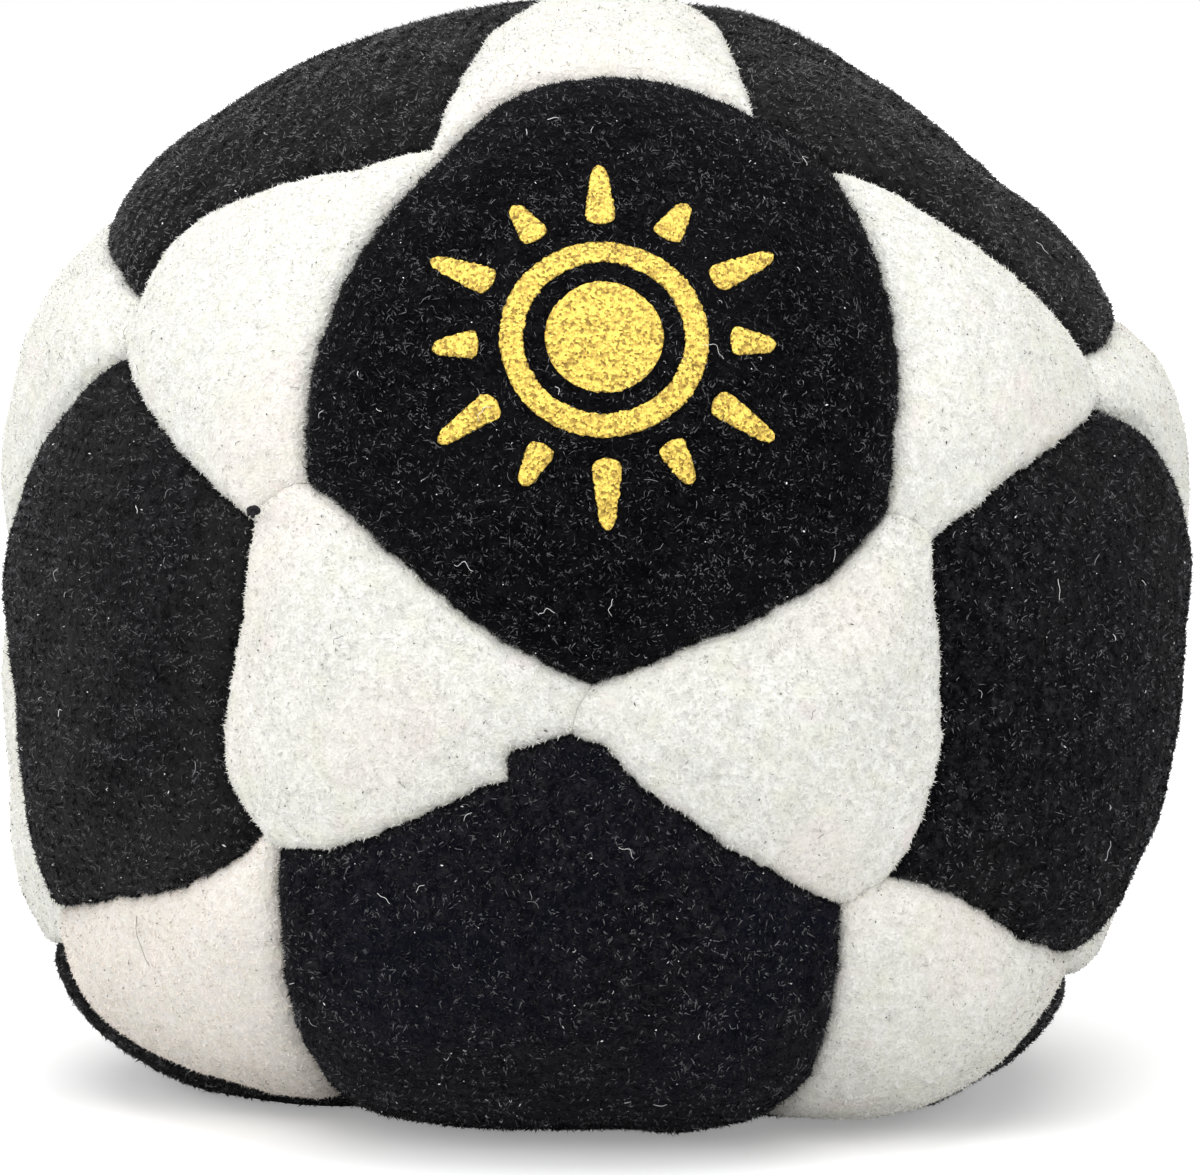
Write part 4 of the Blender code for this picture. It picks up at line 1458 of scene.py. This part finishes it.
# %% [markdown]
# ## Panels are sheets of suede
# Each panel was cut flat before it was sewn and stretched over the fill. The flat size could be read off a
# template, but the closed skin tells it: its outer and inner face are the same sheet, so half its area is the
# cut.


def flat_cut(points, faces):
    """The area of the flat cut, half of the closed skin's: each face as a fan of triangles."""
    area = 0.0
    for part in faces:
        first = points[part[:, 0]]
        for step in range(1, part.shape[1] - 1):
            sides = np.cross(points[part[:, step]] - first, points[part[:, step + 1]] - first)
            area += np.linalg.norm(sides, axis=1).sum() / 2
    return area / 2


flat_areas = {name: flat_cut(*grid[:2]) for name, grid in grids.items()}
print("suede in all", round(sum(flat_areas.values()) / millimetre**2), "square mm")

# %% [markdown]
# ## Thread and pellets
# Twisted thread runs in the seams, and loose plastic pellets fill the bag. Stitches and pellets could be made
# one by one, but the thread lies deep in the grooves and the pellets inside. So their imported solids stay,
# with finishes that show what they are when the bag is opened.

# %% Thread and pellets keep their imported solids
def twisted_thread():
    """Dark plies in slanting bands, each band rounded by the bump, with a little fluff in the shade."""
    made, shader, start = new_material("twisted thread", {"Roughness": 0.65})
    place = start.make("TexCoord", {}, {}, "Object")
    settings = {"wave_type": "BANDS", "bands_direction": "DIAGONAL"}
    plies = start.make("TexWave", settings, {"Vector": place, "Scale": 450.0, "Distortion": 1.5}, "Fac")
    fluff = place.noise(0.00025, 2.0)
    stops = [(0.2, rgb(0.008, 0.008, 0.009)), (0.8, rgb(0.035, 0.034, 0.037))]
    colour = start.make("ValToRGB", {"stops": stops}, {"Fac": plies * 0.7 + fluff * 0.3}, "Color")
    colour.feed(shader, "Base Color")
    plies.bumps(shader, 0.6, 0.0001)
    return made


def loose_pellets():
    """Each pellet is a Voronoi cell with its own shade, and the distance from its middle rounds it."""
    made, shader, start = new_material("loose pellets", {})
    place = start.make("TexCoord", {}, {}, "Object")
    dome, chance = place.cells(0.0026)
    chance.mixed(rgb(0.46, 0.44, 0.38), rgb(0.68, 0.66, 0.60)).feed(shader, "Base Color")
    (0.40 + chance * 0.2).feed(shader, "Roughness")
    (1.0 - dome).bumps(shader, 1.0, 0.001)
    return made


node_finishes = {"thread": twisted_thread(), "fill": loose_pellets()}
for node_name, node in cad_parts.items():
    finish = node_finishes.get(kind_of(node_name))
    if finish is not None:
        node.data.materials.clear()
        node.data.materials.append(finish)
print("packed solids kept", sum(kind_of(name) in node_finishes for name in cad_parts))

# %% [markdown]
# ## Floor and light
# The bag stands on white paper, with a broad soft lamp overhead, one at each side and a weaker one in front.
# More light would turn the paper white, but would bleach the pale panels too. So the paper is lifted to white
# only where the camera, a reflection or something clear sees it. The same goes for the world past its edge,
# which gives no light.

# %% Floor
def looked_at(start):
    """1 where a ray from the camera, a reflection or something clear meets the surface, and 0 elsewhere."""
    kinds = ("Camera", "Glossy", "Transmission")
    rays = [start.make("LightPath", {}, {}, f"Is {kind} Ray") for kind in kinds]
    return (rays[0] + rays[1] + rays[2]).clamped()


floor_size = 3.0
floor_lift = 0.28
white, paper_grey = rgb(1.0, 1.0, 1.0), rgb(0.75, 0.75, 0.75)
floor_corners = np.array([[-1, -1, 0], [1, -1, 0], [1, 1, 0], [-1, 1, 0]]) * floor_size
floor_mesh = bpy.data.meshes.new("floor")
floor_mesh.from_pydata(floor_corners.tolist(), [], [(0, 1, 2, 3)])
floor = bpy.data.objects.new("floor", floor_mesh)
bpy.context.collection.objects.link(floor)
values = {"Roughness": 1.0, "Specular IOR Level": 0.0}
paper, paper_shader, paper_start = new_material("white paper", values)
seen = looked_at(paper_start)
seen.mixed(paper_grey, white).feed(paper_shader, "Base Color")
glow = paper_start.make("Emission", {}, {"Color": white, "Strength": seen * floor_lift})
lit = Socket(paper.node_tree, paper_shader.outputs[0])
surface = paper_start.make("AddShader", {}, {0: lit, 1: glow})
surface.feed(paper.node_tree.nodes["Material Output"], "Surface")
floor_mesh.materials.append(paper)
print("the floor is", 2 * floor_size, "m wide")

# %% World and lamps
world = bpy.data.worlds.new("studio")
world.use_nodes = True
bpy.context.scene.world = world
background = world.node_tree.nodes["Background"]
looked_at(Socket(world.node_tree)).feed(background, "Strength")
background.inputs["Color"].default_value = white


def sun(name, strength, softness, way):
    """Even light from one direction, with a wide disc so that its shadows are soft."""
    data = bpy.data.lights.new(name, "SUN")
    data.energy = strength
    data.angle = math.radians(softness)
    lamp = bpy.data.objects.new(name, data)
    lamp.rotation_mode = "QUATERNION"
    lamp.rotation_quaternion = Vector(way).to_track_quat("-Z", "Y")
    bpy.context.collection.objects.link(lamp)


sun("overhead", 2.25, 60.0, (0.0, 0.10, -1.0))
sun("front", 0.95, 40.0, (0.15, 1.0, -0.70))
sun("left", 2.35, 80.0, (1.0, 0.45, -0.25))
sun("right", 1.85, 80.0, (-1.0, 0.45, -0.25))
bpy.context.scene.view_settings.view_transform = "Standard"
print("lamps", len(bpy.data.lights))
